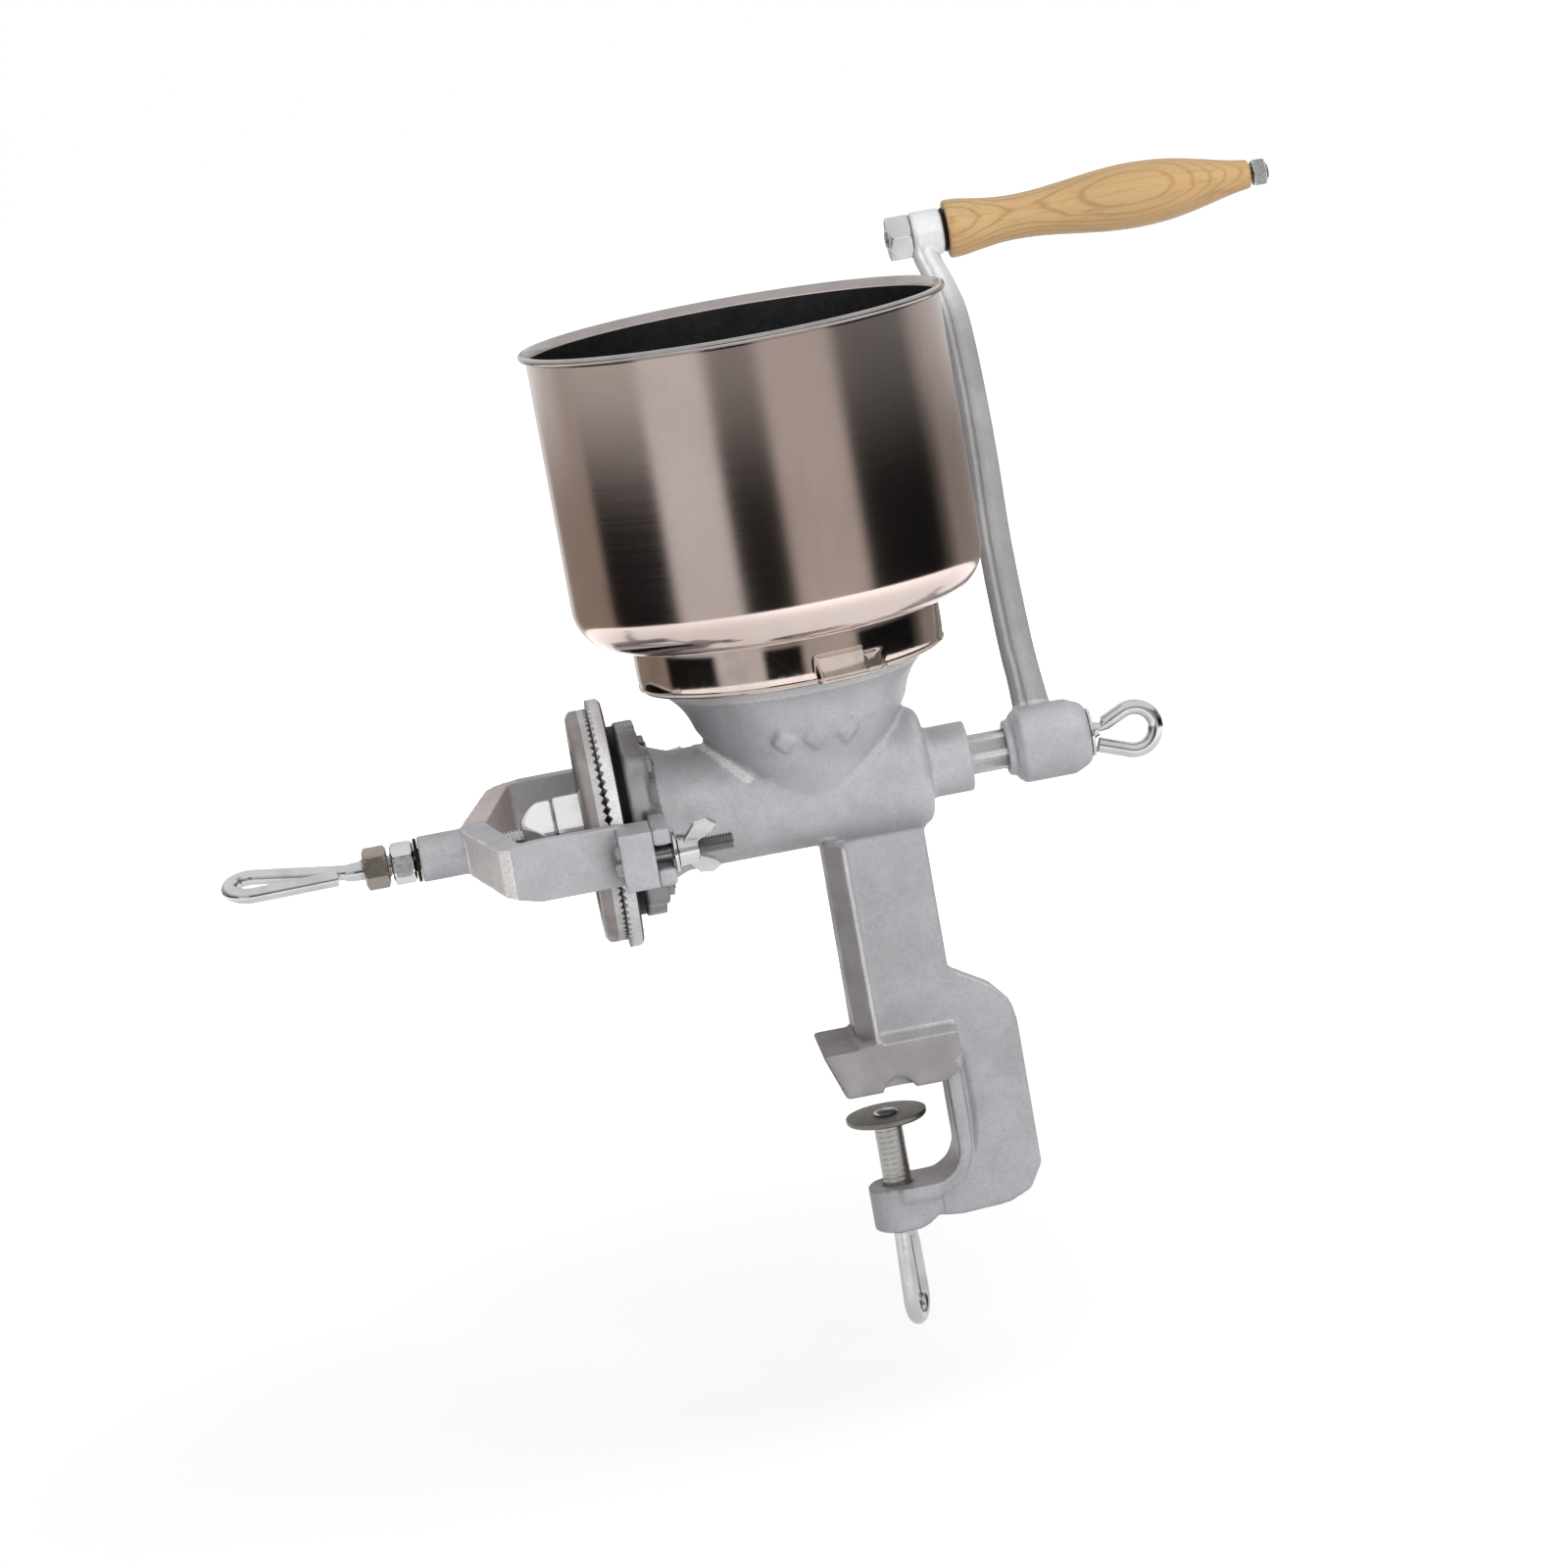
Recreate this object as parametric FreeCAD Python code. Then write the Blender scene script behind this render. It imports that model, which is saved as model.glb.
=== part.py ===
import FreeCAD, Part
import math
import os

# Hand crank grinder that clamps to a table edge. Lengths in mm, angles in degrees.
# Origin: on the table seat under the upper jaw, below the hopper's axis.
# +X runs along the shaft towards the crank, +Y is the far side, +Z is up.

# --- clearances ---------------------------------------------------------------------------
RUN_FIT = 0.05            # radial clearance of a shaft or screw in its hole
GAP = 0.3                 # space between pieces that move past each other

# --- body casting: barrel, bearing boss, flange, ears -------------------------------------
SHAFT_Z = 108.0           # shaft axis above the table seat
BARREL_R = 21.0
BARREL_WALL = 3.5
BARREL_X1 = 39.7          # right end of the barrel
BARREL_CAP = 5.0          # thickness of the barrel's right end wall
BOSS_R = 12.3
BOSS_X1 = 54.9            # right end of the bearing boss
FLANGE_X0 = -65.0         # face of the left flange, which carries the fixed burr
FLANGE_T = 7.5
FLANGE_R = 34.0
FLARE_R = 25.0            # the barrel widens to this radius at the flange
FLARE_L = 10.0
EAR_OFFSET = 5.0          # ear face behind the flange face
EAR_T = 6.0
EAR_HALF_H = 10.0
EAR_TIP = 7.0             # ear past the stud axis
EAR_SLOT_ROOM = 1.0       # room round a stud in its open slot
EAR_ROOT_Y = 26.0

# --- throat and hopper --------------------------------------------------------------------
THROAT_WAIST_R = 37.0
THROAT_WAIST_H = 27.0     # waist above the shaft axis
THROAT_RIM_R = 49.5
THROAT_WALL = 3.5
THROAT_FOOT_R = 21.0
COLLAR_R = 53.2
COLLAR_T = 1.0
COLLAR_LIFT = 43.5        # collar's lower edge above the shaft axis
COLLAR_H = 16.3
BOWL_R = 71.2
BOWL_T = 1.0
BOWL_H = 104.6            # bowl floor to the top of the rim bead
BOWL_CORNER_R = 15.0
BOWL_HOLE_R = 46.0
BEAD_R = 2.0
NECK_WALL = 3.0
LUG_OUT = 0.9             # bayonet lug past the neck
LUG_DEG = 6.0
LUG_H = 4.5
LUG_Z = 6.0               # lug's middle above the collar's lower edge
POCKET_ROOM = 0.6         # room round a lug inside its pocket
POCKET_T = 1.0
POCKET_DEG = 23.0
POCKET_AT = -66.0         # middle of the near pocket, from +X

# --- burrs and their drive ----------------------------------------------------------------
FIXED_BURR_R = 43.3
FIXED_BURR_T = 6.2
BURR_SEAT_T = 1.3
BURR_SEAT_R = 33.0
BURR_GAP = 0.4
ROTATING_BURR_R = 40.5
ROTATING_BURR_T = 3.1
ROTATING_BURR_BORE_R = 14.0
TOOTH_COUNT = 84
TOOTH_DEPTH = 1.2
TOOTH_W = 1.4
TOOTH_INNER_R = 30.0
CARRIER_T = 4.2
CARRIER_HUB_R = 12.5
CARRIER_HUB_L = 9.8
CARRIER_DISH_R = 33.0
CARRIER_DISH = 1.0
BURR_SCREW_R = 2.0
BURR_SCREW_HEAD_R = 3.6
BURR_SCREW_CIRCLE_R = 26.0
FIXED_SCREW_CIRCLE_R = 29.3
FIXED_SCREW_COUNT = 4
FIXED_NUT_AF = 7.0
FIXED_NUT_T = 3.2
CARRIER_SCREW_COUNT = 3
DRIVE_PIN_R = 1.8
DRIVE_PIN_INSET = 3.4      # pin's axis behind the carrier disc

# --- auger and its shank ------------------------------------------------------------------
AUGER_SHAFT_R = 8.0
AUGER_ROOM = 0.9          # flight to barrel
AUGER_CORE_R = 7.0
AUGER_PITCH = 30.0
AUGER_TURNS = 2.6
FLIGHT_T = 4.0
JOURNAL_R = 7.5
SHANK_R = 6.9
FLUTE_COUNT = 6
FLUTE_R = 1.5
SHANK_L = 15.4            # free shank between boss and crank
SHANK_INSET = 3.0         # shank end inside the crank hub's face

# --- yoke, studs and wing nuts ------------------------------------------------------------
YOKE_REACH = 51.5         # foot's back face to the bend
YOKE_RISE = 10.0          # bend to the hub's root
YOKE_HUB_L = 16.5
YOKE_HUB_R = 8.0
YOKE_TILT = 2.5           # yoke and ears stand this far off level, the far side up
YOKE_HALF_W = 50.0        # outer face of an arm
YOKE_T = 5.0
YOKE_CROWN_T = 8.0        # slanted plates, along X
YOKE_HALF_H = 10.4
YOKE_BEND_TOP = 9.0       # shaft axis up to the top edge at the bend
YOKE_BEND_LOW = 7.4       # shaft axis down to the low edge at the bend
FOOT_T = 11.5
FOOT_HALF_H = 9.8
FOOT_OUT = 7.0            # foot past the stud axis
STUD_Y = 56.0
STUD_R = 3.0
STUD_HEAD_R = 5.4
STUD_HEAD_T = 3.0
STUD_TAIL = 20.7          # stud past the back of its ear
WING_WASHER_R = 7.0
WING_WASHER_T = 1.2
WING_HUB_R = 5.6
WING_HUB_TOP_R = 4.4
WING_HUB_L = 7.0
WING_SPAN = 14.0          # wing tip from the stud axis
WING_T = 1.8
WING_FLARE = 14.0         # wing tip behind the nut's face
WING_TURN = 128.0         # direction of the upper wing, from +Y towards +Z

# --- adjusting screw and thrust pieces ----------------------------------------------------
ADJUSTER_R = 3.95
LOCK_WASHER_R = 7.6
LOCK_WASHER_T = 1.2
LOCK_NUT_AF = 13.0
LOCK_NUT_T = 8.0
LOCK_PLAY = 1.2           # lock nut to jam nut
JAM_NUT_T = 8.5
CUP_R = 12.0
CUP_L = 11.5
CUP_TOP_R = 6.0
THRUST_GAP = 0.5
BALL_R = 4.0
CUP_DEPTH = 7.0           # adjusting screw inside the cup

# --- eyes of the three hand screws --------------------------------------------------------
WIRE_R = 2.7
EYE_R = 7.6               # centre line radius of an eye
EYE_DROP = 1.6            # eye's centre beside the rod's axis
EYE_END = (1.4, 4.9)      # cut end of the wire, along the rod from the root and beside its axis
ADJUSTER_ROD_L = 13.0
ADJUSTER_EYE_REACH = 26.0 # root of the eye to the eye's centre
CRANK_EYE_REACH = 14.5
CLAMP_EYE_REACH = 24.4
CLAMP_EYE_TURN = 62.0     # eye's plane, from the XZ plane
ADJUSTER_EYE_TURN = 13.0  # eye's plane, from level, the far side up
ADJUSTER_EYE_LIFT = 3.5   # rod bent up before the eye

# --- crank and handle ---------------------------------------------------------------------
CRANK_THROW = 190.0
CRANK_LEAN = 24.0         # rest position of the arm, from +Z towards +Y
CRANK_HUB_R = 13.2
CRANK_HUB_L = 26.7
CRANK_COLLAR_R = 9.6
CRANK_COLLAR_L = 2.5
ARM_W = 12.4              # arm along X at its root
ARM_TIP_W = 10.6
ARM_T = 8.0
ARM_ROOT_X = 9.6          # arm's middle from the hub's left face
ARM_BOW = 2.6             # arm's bow away from the hopper
ARM_TIP_BACK = 3.6        # handle boss back towards the hopper
HANDLE_BOSS_R = 8.2
HANDLE_BOSS_L = 13.0
HANDLE_BOLT_R = 3.0
HANDLE_NUT_AF = 11.0
HANDLE_NUT_T = 6.0
HANDLE_WASHER_R = 7.8
HANDLE_WASHER_T = 3.0
GRIP_L = 110.5
GRIP_END_R = 10.5
GRIP_NECK_R = 8.0
GRIP_BELLY_R = 11.7
GRIP_TIP_R = 5.0
END_NUT_AF = 9.0
END_NUT_T = 5.0
END_NUT_GAP = 1.0
BOLT_TIP = 0.8
CRANK_WASHER_R = 8.5
CRANK_WASHER_T = 1.2
CRANK_SCREW_R = 3.0
CRANK_SCREW_L = 16.0

# --- column and clamp ---------------------------------------------------------------------
COLUMN_X0 = -1.0
COLUMN_X1 = 35.0
WEB_T = 10.0
FACE_T = 4.0              # column face plate
LINING_T = 5.0            # lining round the clamp's mouth
COLUMN_HALF_W = 12.0
COLUMN_FOOT_HALF_W = 18.0
SHOULDER_Z = 35.4
JAW_X0 = -14.5
JAW_X1 = 33.5
JAW_H = 17.0
JAW_HALF_W = 19.0
JAW_SLANT = 6.0
FOOT_END_X = 27.3         # inner face of the clamp's back
NOTCH_X0 = 4.5
NOTCH_W = 11.0
NOTCH_H = 4.5
CLAMP_BACK_X1 = 55.8
CLAMP_DEPTH = 37.2        # seat down to the lower arm
CLAMP_BACK_H = 52.2
MOUTH_CORNER_R = 11.0
CLAMP_ARM_H = 16.0
CLAMP_SCREW_X = 5.0
CLAMP_ARM_R = 10.6
CLAMP_ARM_L = 14.0        # screw's axis to the end of the thick arm
CLAMP_SCREW_R = 5.0
CLAMP_NECK_R = 3.0
CLAMP_OPENING = 11.8      # seat down to the pad at rest
PAD_R = 14.2
PAD_T = 2.2
RIVET_R = 4.4
RIVET_H = 1.4
CLAMP_EYE_DROP = 1.2      # lower arm down to the eye's root

# --- places worked out from the sizes above -----------------------------------------------
V = FreeCAD.Vector
X_AXIS = V(1, 0, 0)
Y_AXIS = V(0, 1, 0)
Z_AXIS = V(0, 0, 1)
SHAFT = V(0, 0, SHAFT_Z)
BARREL_BORE_R = BARREL_R - BARREL_WALL
FLANGE_BACK_X = FLANGE_X0 + FLANGE_T
EAR_X0 = FLANGE_X0 + EAR_OFFSET
EAR_X1 = EAR_X0 + EAR_T
FIXED_FACE_X = FLANGE_X0 - BURR_SEAT_T - FIXED_BURR_T
ROTATING_FACE_X = FIXED_FACE_X - BURR_GAP
ROTATING_BACK_X = ROTATING_FACE_X - ROTATING_BURR_T
CARRIER_X = ROTATING_BACK_X - CARRIER_T
CARRIER_HUB_X = CARRIER_X - CARRIER_HUB_L
DRIVE_PIN_X = CARRIER_X - DRIVE_PIN_INSET
CUP_X1 = CARRIER_HUB_X - THRUST_GAP
CUP_X0 = CUP_X1 - CUP_L
BALL_X = CARRIER_HUB_X - THRUST_GAP / 2
YOKE_BEND_X = EAR_X0 - YOKE_REACH
YOKE_ROOT_X = YOKE_BEND_X - YOKE_RISE
YOKE_HUB_X0 = YOKE_ROOT_X - YOKE_HUB_L
LOCK_WASHER_X0 = YOKE_HUB_X0 - GAP - LOCK_WASHER_T
LOCK_NUT_X0 = LOCK_WASHER_X0 - GAP - LOCK_NUT_T
JAM_NUT_X0 = LOCK_NUT_X0 - LOCK_PLAY - JAM_NUT_T
ADJUSTER_EYE_X = JAM_NUT_X0 - ADJUSTER_ROD_L
CRANK_HUB_X0 = BOSS_X1 + SHANK_L
CRANK_HUB_X1 = CRANK_HUB_X0 + CRANK_HUB_L
SHANK_X1 = CRANK_HUB_X1 - SHANK_INSET
CRANK_WASHER_X0 = CRANK_HUB_X1 + GAP
CRANK_EYE_X = CRANK_WASHER_X0 + CRANK_WASHER_T + GAP
HANDLE_BOSS_X = CRANK_HUB_X0 + ARM_ROOT_X - ARM_TIP_BACK
HANDLE_BOSS_X0 = HANDLE_BOSS_X - HANDLE_BOSS_L / 2
HANDLE_BOSS_X1 = HANDLE_BOSS_X0 + HANDLE_BOSS_L
HANDLE_WASHER_X1 = HANDLE_BOSS_X1 + HANDLE_WASHER_T
GRIP_X0 = HANDLE_WASHER_X1 + GAP
GRIP_X1 = GRIP_X0 + GRIP_L
END_NUT_X0 = GRIP_X1 + END_NUT_GAP
BOLT_X1 = END_NUT_X0 + END_NUT_T + BOLT_TIP
NECK_R = COLLAR_R - COLLAR_T - RUN_FIT
COLLAR_Z0 = SHAFT_Z + COLLAR_LIFT
FLOOR_Z = COLLAR_Z0 + COLLAR_H
RIM_Z = FLOOR_Z + BOWL_H
PAD_Z = -CLAMP_OPENING + RIVET_H
CLAMP_ARM_Z0 = -CLAMP_DEPTH - CLAMP_ARM_H
CLAMP_EYE_Z = CLAMP_ARM_Z0 - CLAMP_EYE_DROP


# --- helpers ------------------------------------------------------------------------------
def rod(radius, x0, x1, y=0.0, z=SHAFT_Z):
    """Cylinder along +X."""
    return Part.makeCylinder(radius, x1 - x0, V(x0, y, z), X_AXIS)


def cone(radius0, radius1, x0, x1, y=0.0, z=SHAFT_Z):
    """Cone along +X."""
    return Part.makeCone(radius0, radius1, x1 - x0, V(x0, y, z), X_AXIS)


def post(radius, z0, z1, x=0.0, y=0.0):
    """Cylinder along +Z."""
    return Part.makeCylinder(radius, z1 - z0, V(x, y, z0), Z_AXIS)


def block(x0, x1, y0, y1, z0, z1):
    """Box between two corners."""
    return Part.makeBox(x1 - x0, y1 - y0, z1 - z0, V(x0, y0, z0))


def fused(first, *others):
    """One solid from several."""
    return first.multiFuse(list(others)).removeSplitter()


def side_prism(points, half_width):
    """Polygon in the XZ plane, thick along Y."""
    corners = [V(x, -half_width, z) for x, z in points]
    face = Part.Face(Part.makePolygon(corners + [corners[0]]))
    return face.extrude(V(0, 2 * half_width, 0))


def turned_about_z(points):
    """Solid of revolution about Z from a closed outline of (radius, z)."""
    corners = [V(radius, 0, z) for radius, z in points]
    return Part.Face(Part.makePolygon(corners + [corners[0]])).revolve(V(), Z_AXIS, 360)


def hex_nut(across_flats, bore_r, x0, x1, y=0.0, z=SHAFT_Z):
    """Hexagonal nut along X with both ends chamfered and a plain bore."""
    outer_r = across_flats / math.sqrt(3)
    angles = [math.radians(60 * i) for i in range(7)]
    corners = [V(x0, y + outer_r * math.cos(a), z + outer_r * math.sin(a)) for a in angles]
    prism = Part.Face(Part.makePolygon(corners)).extrude(V(x1 - x0, 0, 0))
    chamfer = 0.12 * across_flats
    middle = (x0 + x1) / 2
    reach = outer_r + (x1 - x0) / 2 * 1.7
    round_ends = cone(outer_r - chamfer, outer_r - chamfer + (middle - x0) * 1.7, x0, middle, y, z).fuse(
        cone(outer_r - chamfer + (middle - x0) * 1.7, outer_r - chamfer, middle, x1, y, z))
    return prism.common(round_ends).cut(rod(bore_r, x0 - reach, x1 + reach, y, z))


def touch_point(start, centre, side):
    """Where a line from start meets the eye's centre line, above (side 1) or below (side -1)."""
    away = centre.sub(start)
    direction = math.atan2(away.z, away.x) + side * math.asin(EYE_R / away.Length)
    leg = math.sqrt(away.Length ** 2 - EYE_R ** 2)
    return start.add(V(leg * math.cos(direction), 0, leg * math.sin(direction)))


def eye(reach, rod_l, rod_r):
    """Bent wire eye: a rod along +X from the origin, then a teardrop loop in the XZ plane."""
    root = V(rod_l, 0, 0)
    centre = V(rod_l + reach, 0, -EYE_DROP)
    end = V(rod_l + EYE_END[0], 0, -EYE_END[1])
    top = touch_point(root, centre, 1)
    low = touch_point(end, centre, -1)
    path = Part.Wire([Part.LineSegment(root, top).toShape(),
                      Part.Arc(top, centre.add(V(EYE_R, 0, 0)), low).toShape(),
                      Part.LineSegment(low, end).toShape()])
    section = Part.Wire(Part.Circle(root, top.sub(root), WIRE_R).toShape())
    wire = path.makePipeShell([section], True, False)
    straight = Part.makeCylinder(rod_r, rod_l, V(), X_AXIS)
    return fused(straight, Part.makeSphere(rod_r, root), wire)


def ring_sector(r0, r1, z0, z1, middle, width):
    """Part of a ring about Z: width degrees centred on the angle middle."""
    corners = [V(r0, 0, z0), V(r1, 0, z0), V(r1, 0, z1), V(r0, 0, z1)]
    sector = Part.Face(Part.makePolygon(corners + [corners[0]])).revolve(V(), Z_AXIS, width)
    sector.rotate(V(), Z_AXIS, middle - width / 2)
    return sector


def lean_back(shape):
    """Turn an upright crank piece to the crank's rest position."""
    shape.rotate(SHAFT, X_AXIS, -CRANK_LEAN)
    return shape


def tilted(shape):
    """Turn a level piece of the yoke or its ears to the yoke's tilt."""
    shape.rotate(SHAFT, X_AXIS, YOKE_TILT)
    return shape


# --- body casting -------------------------------------------------------------------------
def throat_shell():
    """Flared throat, neck for the hopper's collar, and the bayonet lugs."""
    waist = V(THROAT_WAIST_R, 0, SHAFT_Z + THROAT_WAIST_H)
    rim = V(THROAT_RIM_R, 0, COLLAR_Z0 - GAP)
    mid_r = THROAT_WAIST_R + 0.32 * (THROAT_RIM_R - THROAT_WAIST_R)
    mid_z = waist.z + 0.55 * (rim.z - waist.z)
    foot = V(THROAT_FOOT_R, 0, SHAFT_Z)
    outline = [
        Part.LineSegment(V(0, 0, foot.z), foot).toShape(),
        Part.LineSegment(foot, waist).toShape(),
        Part.Arc(waist, V(mid_r, 0, mid_z), rim).toShape(),
        Part.LineSegment(rim, V(NECK_R, 0, rim.z)).toShape(),
        Part.LineSegment(V(NECK_R, 0, rim.z), V(NECK_R, 0, FLOOR_Z - GAP)).toShape(),
        Part.LineSegment(V(NECK_R, 0, FLOOR_Z - GAP), V(0, 0, FLOOR_Z - GAP)).toShape(),
        Part.LineSegment(V(0, 0, FLOOR_Z - GAP), V(0, 0, foot.z)).toShape(),
    ]
    shell = Part.Face(Part.Wire(outline)).revolve(V(), Z_AXIS, 360)
    lug_z = COLLAR_Z0 + LUG_Z
    for angle in (POCKET_AT, POCKET_AT + 180):
        turn = angle + (POCKET_DEG - LUG_DEG) / 2 - 1
        shell = shell.fuse(ring_sector(NECK_R - 1, NECK_R + LUG_OUT, lug_z - LUG_H / 2, lug_z + LUG_H / 2,
                                       turn, LUG_DEG))
    return shell


def throat_bore():
    """Funnel through the throat into the barrel."""
    return turned_about_z([
        (0, SHAFT_Z), (BARREL_BORE_R - 1, SHAFT_Z),
        (THROAT_WAIST_R - THROAT_WALL, SHAFT_Z + THROAT_WAIST_H),
        (THROAT_RIM_R - THROAT_WALL - 1, COLLAR_Z0), (NECK_R - NECK_WALL, COLLAR_Z0 + 2),
        (NECK_R - NECK_WALL, FLOOR_Z + 1), (0, FLOOR_Z + 1)])


def ear(side):
    """Forked ear of the flange, open outwards for a stud."""
    y0, y1 = sorted((side * EAR_ROOT_Y, side * (STUD_Y + EAR_TIP)))
    lug = block(EAR_X0, EAR_X1, y0, y1, SHAFT_Z - EAR_HALF_H, SHAFT_Z + EAR_HALF_H)
    slot_r = STUD_R + EAR_SLOT_ROOM
    slot_y0, slot_y1 = sorted((side * STUD_Y, side * (STUD_Y + EAR_TIP + 1)))
    slot = block(EAR_X0 - 1, EAR_X1 + 1, slot_y0, slot_y1, SHAFT_Z - slot_r, SHAFT_Z + slot_r)
    return tilted(lug.cut(slot).cut(rod(slot_r, EAR_X0 - 1, EAR_X1 + 1, side * STUD_Y)))


def round_low_corner(shape, x, z, radius):
    """Fillet the box edge that runs along Y through (x, z)."""
    corner = [edge for edge in shape.Edges
              if abs(edge.CenterOfMass.x - x) < 0.01 and abs(edge.CenterOfMass.z - z) < 0.01]
    return shape.makeFillet(radius, corner)


def column():
    """Web, face plate, clamp back and clamp lining."""
    top = SHAFT_Z - BARREL_R / 2
    back_z0 = -CLAMP_BACK_H
    web = side_prism([
        (COLUMN_X0 + FACE_T / 2, JAW_H / 2), (COLUMN_X0 + FACE_T / 2, top),
        (COLUMN_X1, top), (COLUMN_X1, SHOULDER_Z),
        (CLAMP_BACK_X1 - 7, SHOULDER_Z - 8.5), (CLAMP_BACK_X1 - 1, JAW_H + 2.5),
        (CLAMP_BACK_X1, JAW_H - 4), (CLAMP_BACK_X1, back_z0 + 13),
        (CLAMP_BACK_X1 - 5, back_z0 + 4.5), (CLAMP_BACK_X1 - 13, back_z0 + 1),
        (FOOT_END_X - 2, back_z0), (CLAMP_SCREW_X, CLAMP_ARM_Z0 + 4), (CLAMP_SCREW_X, -CLAMP_DEPTH / 2),
        (FOOT_END_X + 2, -CLAMP_DEPTH / 2), (FOOT_END_X + 2, JAW_H / 2)], WEB_T / 2)
    foot_z = JAW_H - 2
    face_corners = [V(COLUMN_X0, -COLUMN_HALF_W, top), V(COLUMN_X0, COLUMN_HALF_W, top),
                    V(COLUMN_X0, COLUMN_FOOT_HALF_W, foot_z), V(COLUMN_X0, -COLUMN_FOOT_HALF_W, foot_z)]
    face = Part.Face(Part.makePolygon(face_corners + [face_corners[0]])).extrude(V(FACE_T, 0, 0))
    lining = block(CLAMP_SCREW_X, FOOT_END_X + LINING_T, -COLUMN_HALF_W, COLUMN_HALF_W,
                   -CLAMP_DEPTH - LINING_T, LINING_T)
    lining = round_low_corner(lining, FOOT_END_X + LINING_T, -CLAMP_DEPTH - LINING_T,
                              MOUTH_CORNER_R + LINING_T)
    return fused(web, face, lining)


def clamp_mouth():
    """Space between the jaws, with a round corner at the back."""
    mouth = block(JAW_X0 - 10, FOOT_END_X, -JAW_HALF_W - 5, JAW_HALF_W + 5, -CLAMP_DEPTH, 0)
    return round_low_corner(mouth, FOOT_END_X, -CLAMP_DEPTH, MOUTH_CORNER_R)


def upper_jaw():
    """Jaw plate with two feet and the arched notch between them."""
    plate = side_prism([(JAW_X0, JAW_H), (JAW_X1, JAW_H), (JAW_X1, NOTCH_H), (FOOT_END_X, 0),
                        (JAW_X0 + JAW_SLANT, 0)], JAW_HALF_W)
    arch_r = (NOTCH_W * NOTCH_W / 4 + NOTCH_H * NOTCH_H) / (2 * NOTCH_H)
    arch = Part.makeCylinder(arch_r, 2 * JAW_HALF_W + 2,
                             V(NOTCH_X0 + NOTCH_W / 2, -JAW_HALF_W - 1, NOTCH_H - arch_r), Y_AXIS)
    return plate.cut(arch)


def lower_arm():
    """Round-ended arm that holds the clamp screw."""
    arm = side_prism([
        (CLAMP_SCREW_X, CLAMP_ARM_Z0), (CLAMP_SCREW_X + 3, CLAMP_ARM_Z0),
        (CLAMP_SCREW_X + CLAMP_ARM_L, CLAMP_ARM_Z0 + CLAMP_ARM_H / 4),
        (CLAMP_SCREW_X + CLAMP_ARM_L, -CLAMP_DEPTH), (CLAMP_SCREW_X, -CLAMP_DEPTH)], CLAMP_ARM_R)
    return fused(arm, post(CLAMP_ARM_R, CLAMP_ARM_Z0, -CLAMP_DEPTH, CLAMP_SCREW_X))


def circle_places(radius, count, first):
    """(y, z) of points spread evenly on a circle round the shaft's axis."""
    angles = [math.radians(first + 360 / count * i) for i in range(count)]
    return [(radius * math.cos(a), SHAFT_Z + radius * math.sin(a)) for a in angles]


def fixed_screw_places():
    """(y, z) of the screws that hold the fixed burr."""
    return circle_places(FIXED_SCREW_CIRCLE_R, FIXED_SCREW_COUNT, 180 / FIXED_SCREW_COUNT)


def mill_body():
    """The one-piece casting."""
    barrel = rod(BARREL_R, FLANGE_BACK_X, BARREL_X1)
    barrel = barrel.makeFillet(5.0, [edge for edge in barrel.Edges
                                     if abs(edge.CenterOfMass.x - BARREL_X1) < 0.01])
    solid = fused(
        barrel,
        rod(BOSS_R, BARREL_X1 - BARREL_CAP, BOSS_X1),
        rod(FLANGE_R, FLANGE_X0, FLANGE_BACK_X),
        cone(FLARE_R, BARREL_R, FLANGE_BACK_X, FLANGE_BACK_X + FLARE_L),
        throat_shell(), ear(1), ear(-1), column().cut(clamp_mouth()), upper_jaw(), lower_arm())
    solid = solid.cut(rod(BARREL_BORE_R, FLANGE_X0 - 1, BARREL_X1 - BARREL_CAP))
    solid = solid.cut(throat_bore())
    solid = solid.cut(rod(JOURNAL_R + RUN_FIT, BARREL_X1 - BARREL_CAP - 1, BOSS_X1 + 1))
    solid = solid.cut(post(CLAMP_SCREW_R + RUN_FIT, CLAMP_ARM_Z0 - 1, -CLAMP_DEPTH + 1, CLAMP_SCREW_X))
    for y, z in fixed_screw_places():
        solid = solid.cut(rod(BURR_SCREW_R + RUN_FIT, FLANGE_X0 - 1, FLANGE_BACK_X + 1, y, z))
    return solid.removeSplitter()


# --- hopper -------------------------------------------------------------------------------
def hopper_bowl():
    """Spun bowl with a rounded bottom corner, an open floor and a rolled rim."""
    top = RIM_Z - BEAD_R
    blank = post(BOWL_R, FLOOR_Z, top)
    inner = post(BOWL_R - BOWL_T, FLOOR_Z + BOWL_T, top + 1)
    outer_corner = [edge for edge in blank.Edges if abs(edge.CenterOfMass.z - FLOOR_Z) < 0.01]
    inner_corner = [edge for edge in inner.Edges if abs(edge.CenterOfMass.z - FLOOR_Z - BOWL_T) < 0.01]
    shell = blank.makeFillet(BOWL_CORNER_R, outer_corner).cut(
        inner.makeFillet(BOWL_CORNER_R - BOWL_T, inner_corner))
    bead = Part.makeTorus(BOWL_R - BOWL_T / 2 + BEAD_R, BEAD_R, V(0, 0, top), Z_AXIS)
    return fused(shell, bead).cut(post(BOWL_HOLE_R, FLOOR_Z - 1, FLOOR_Z + BOWL_T + 1))


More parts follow.
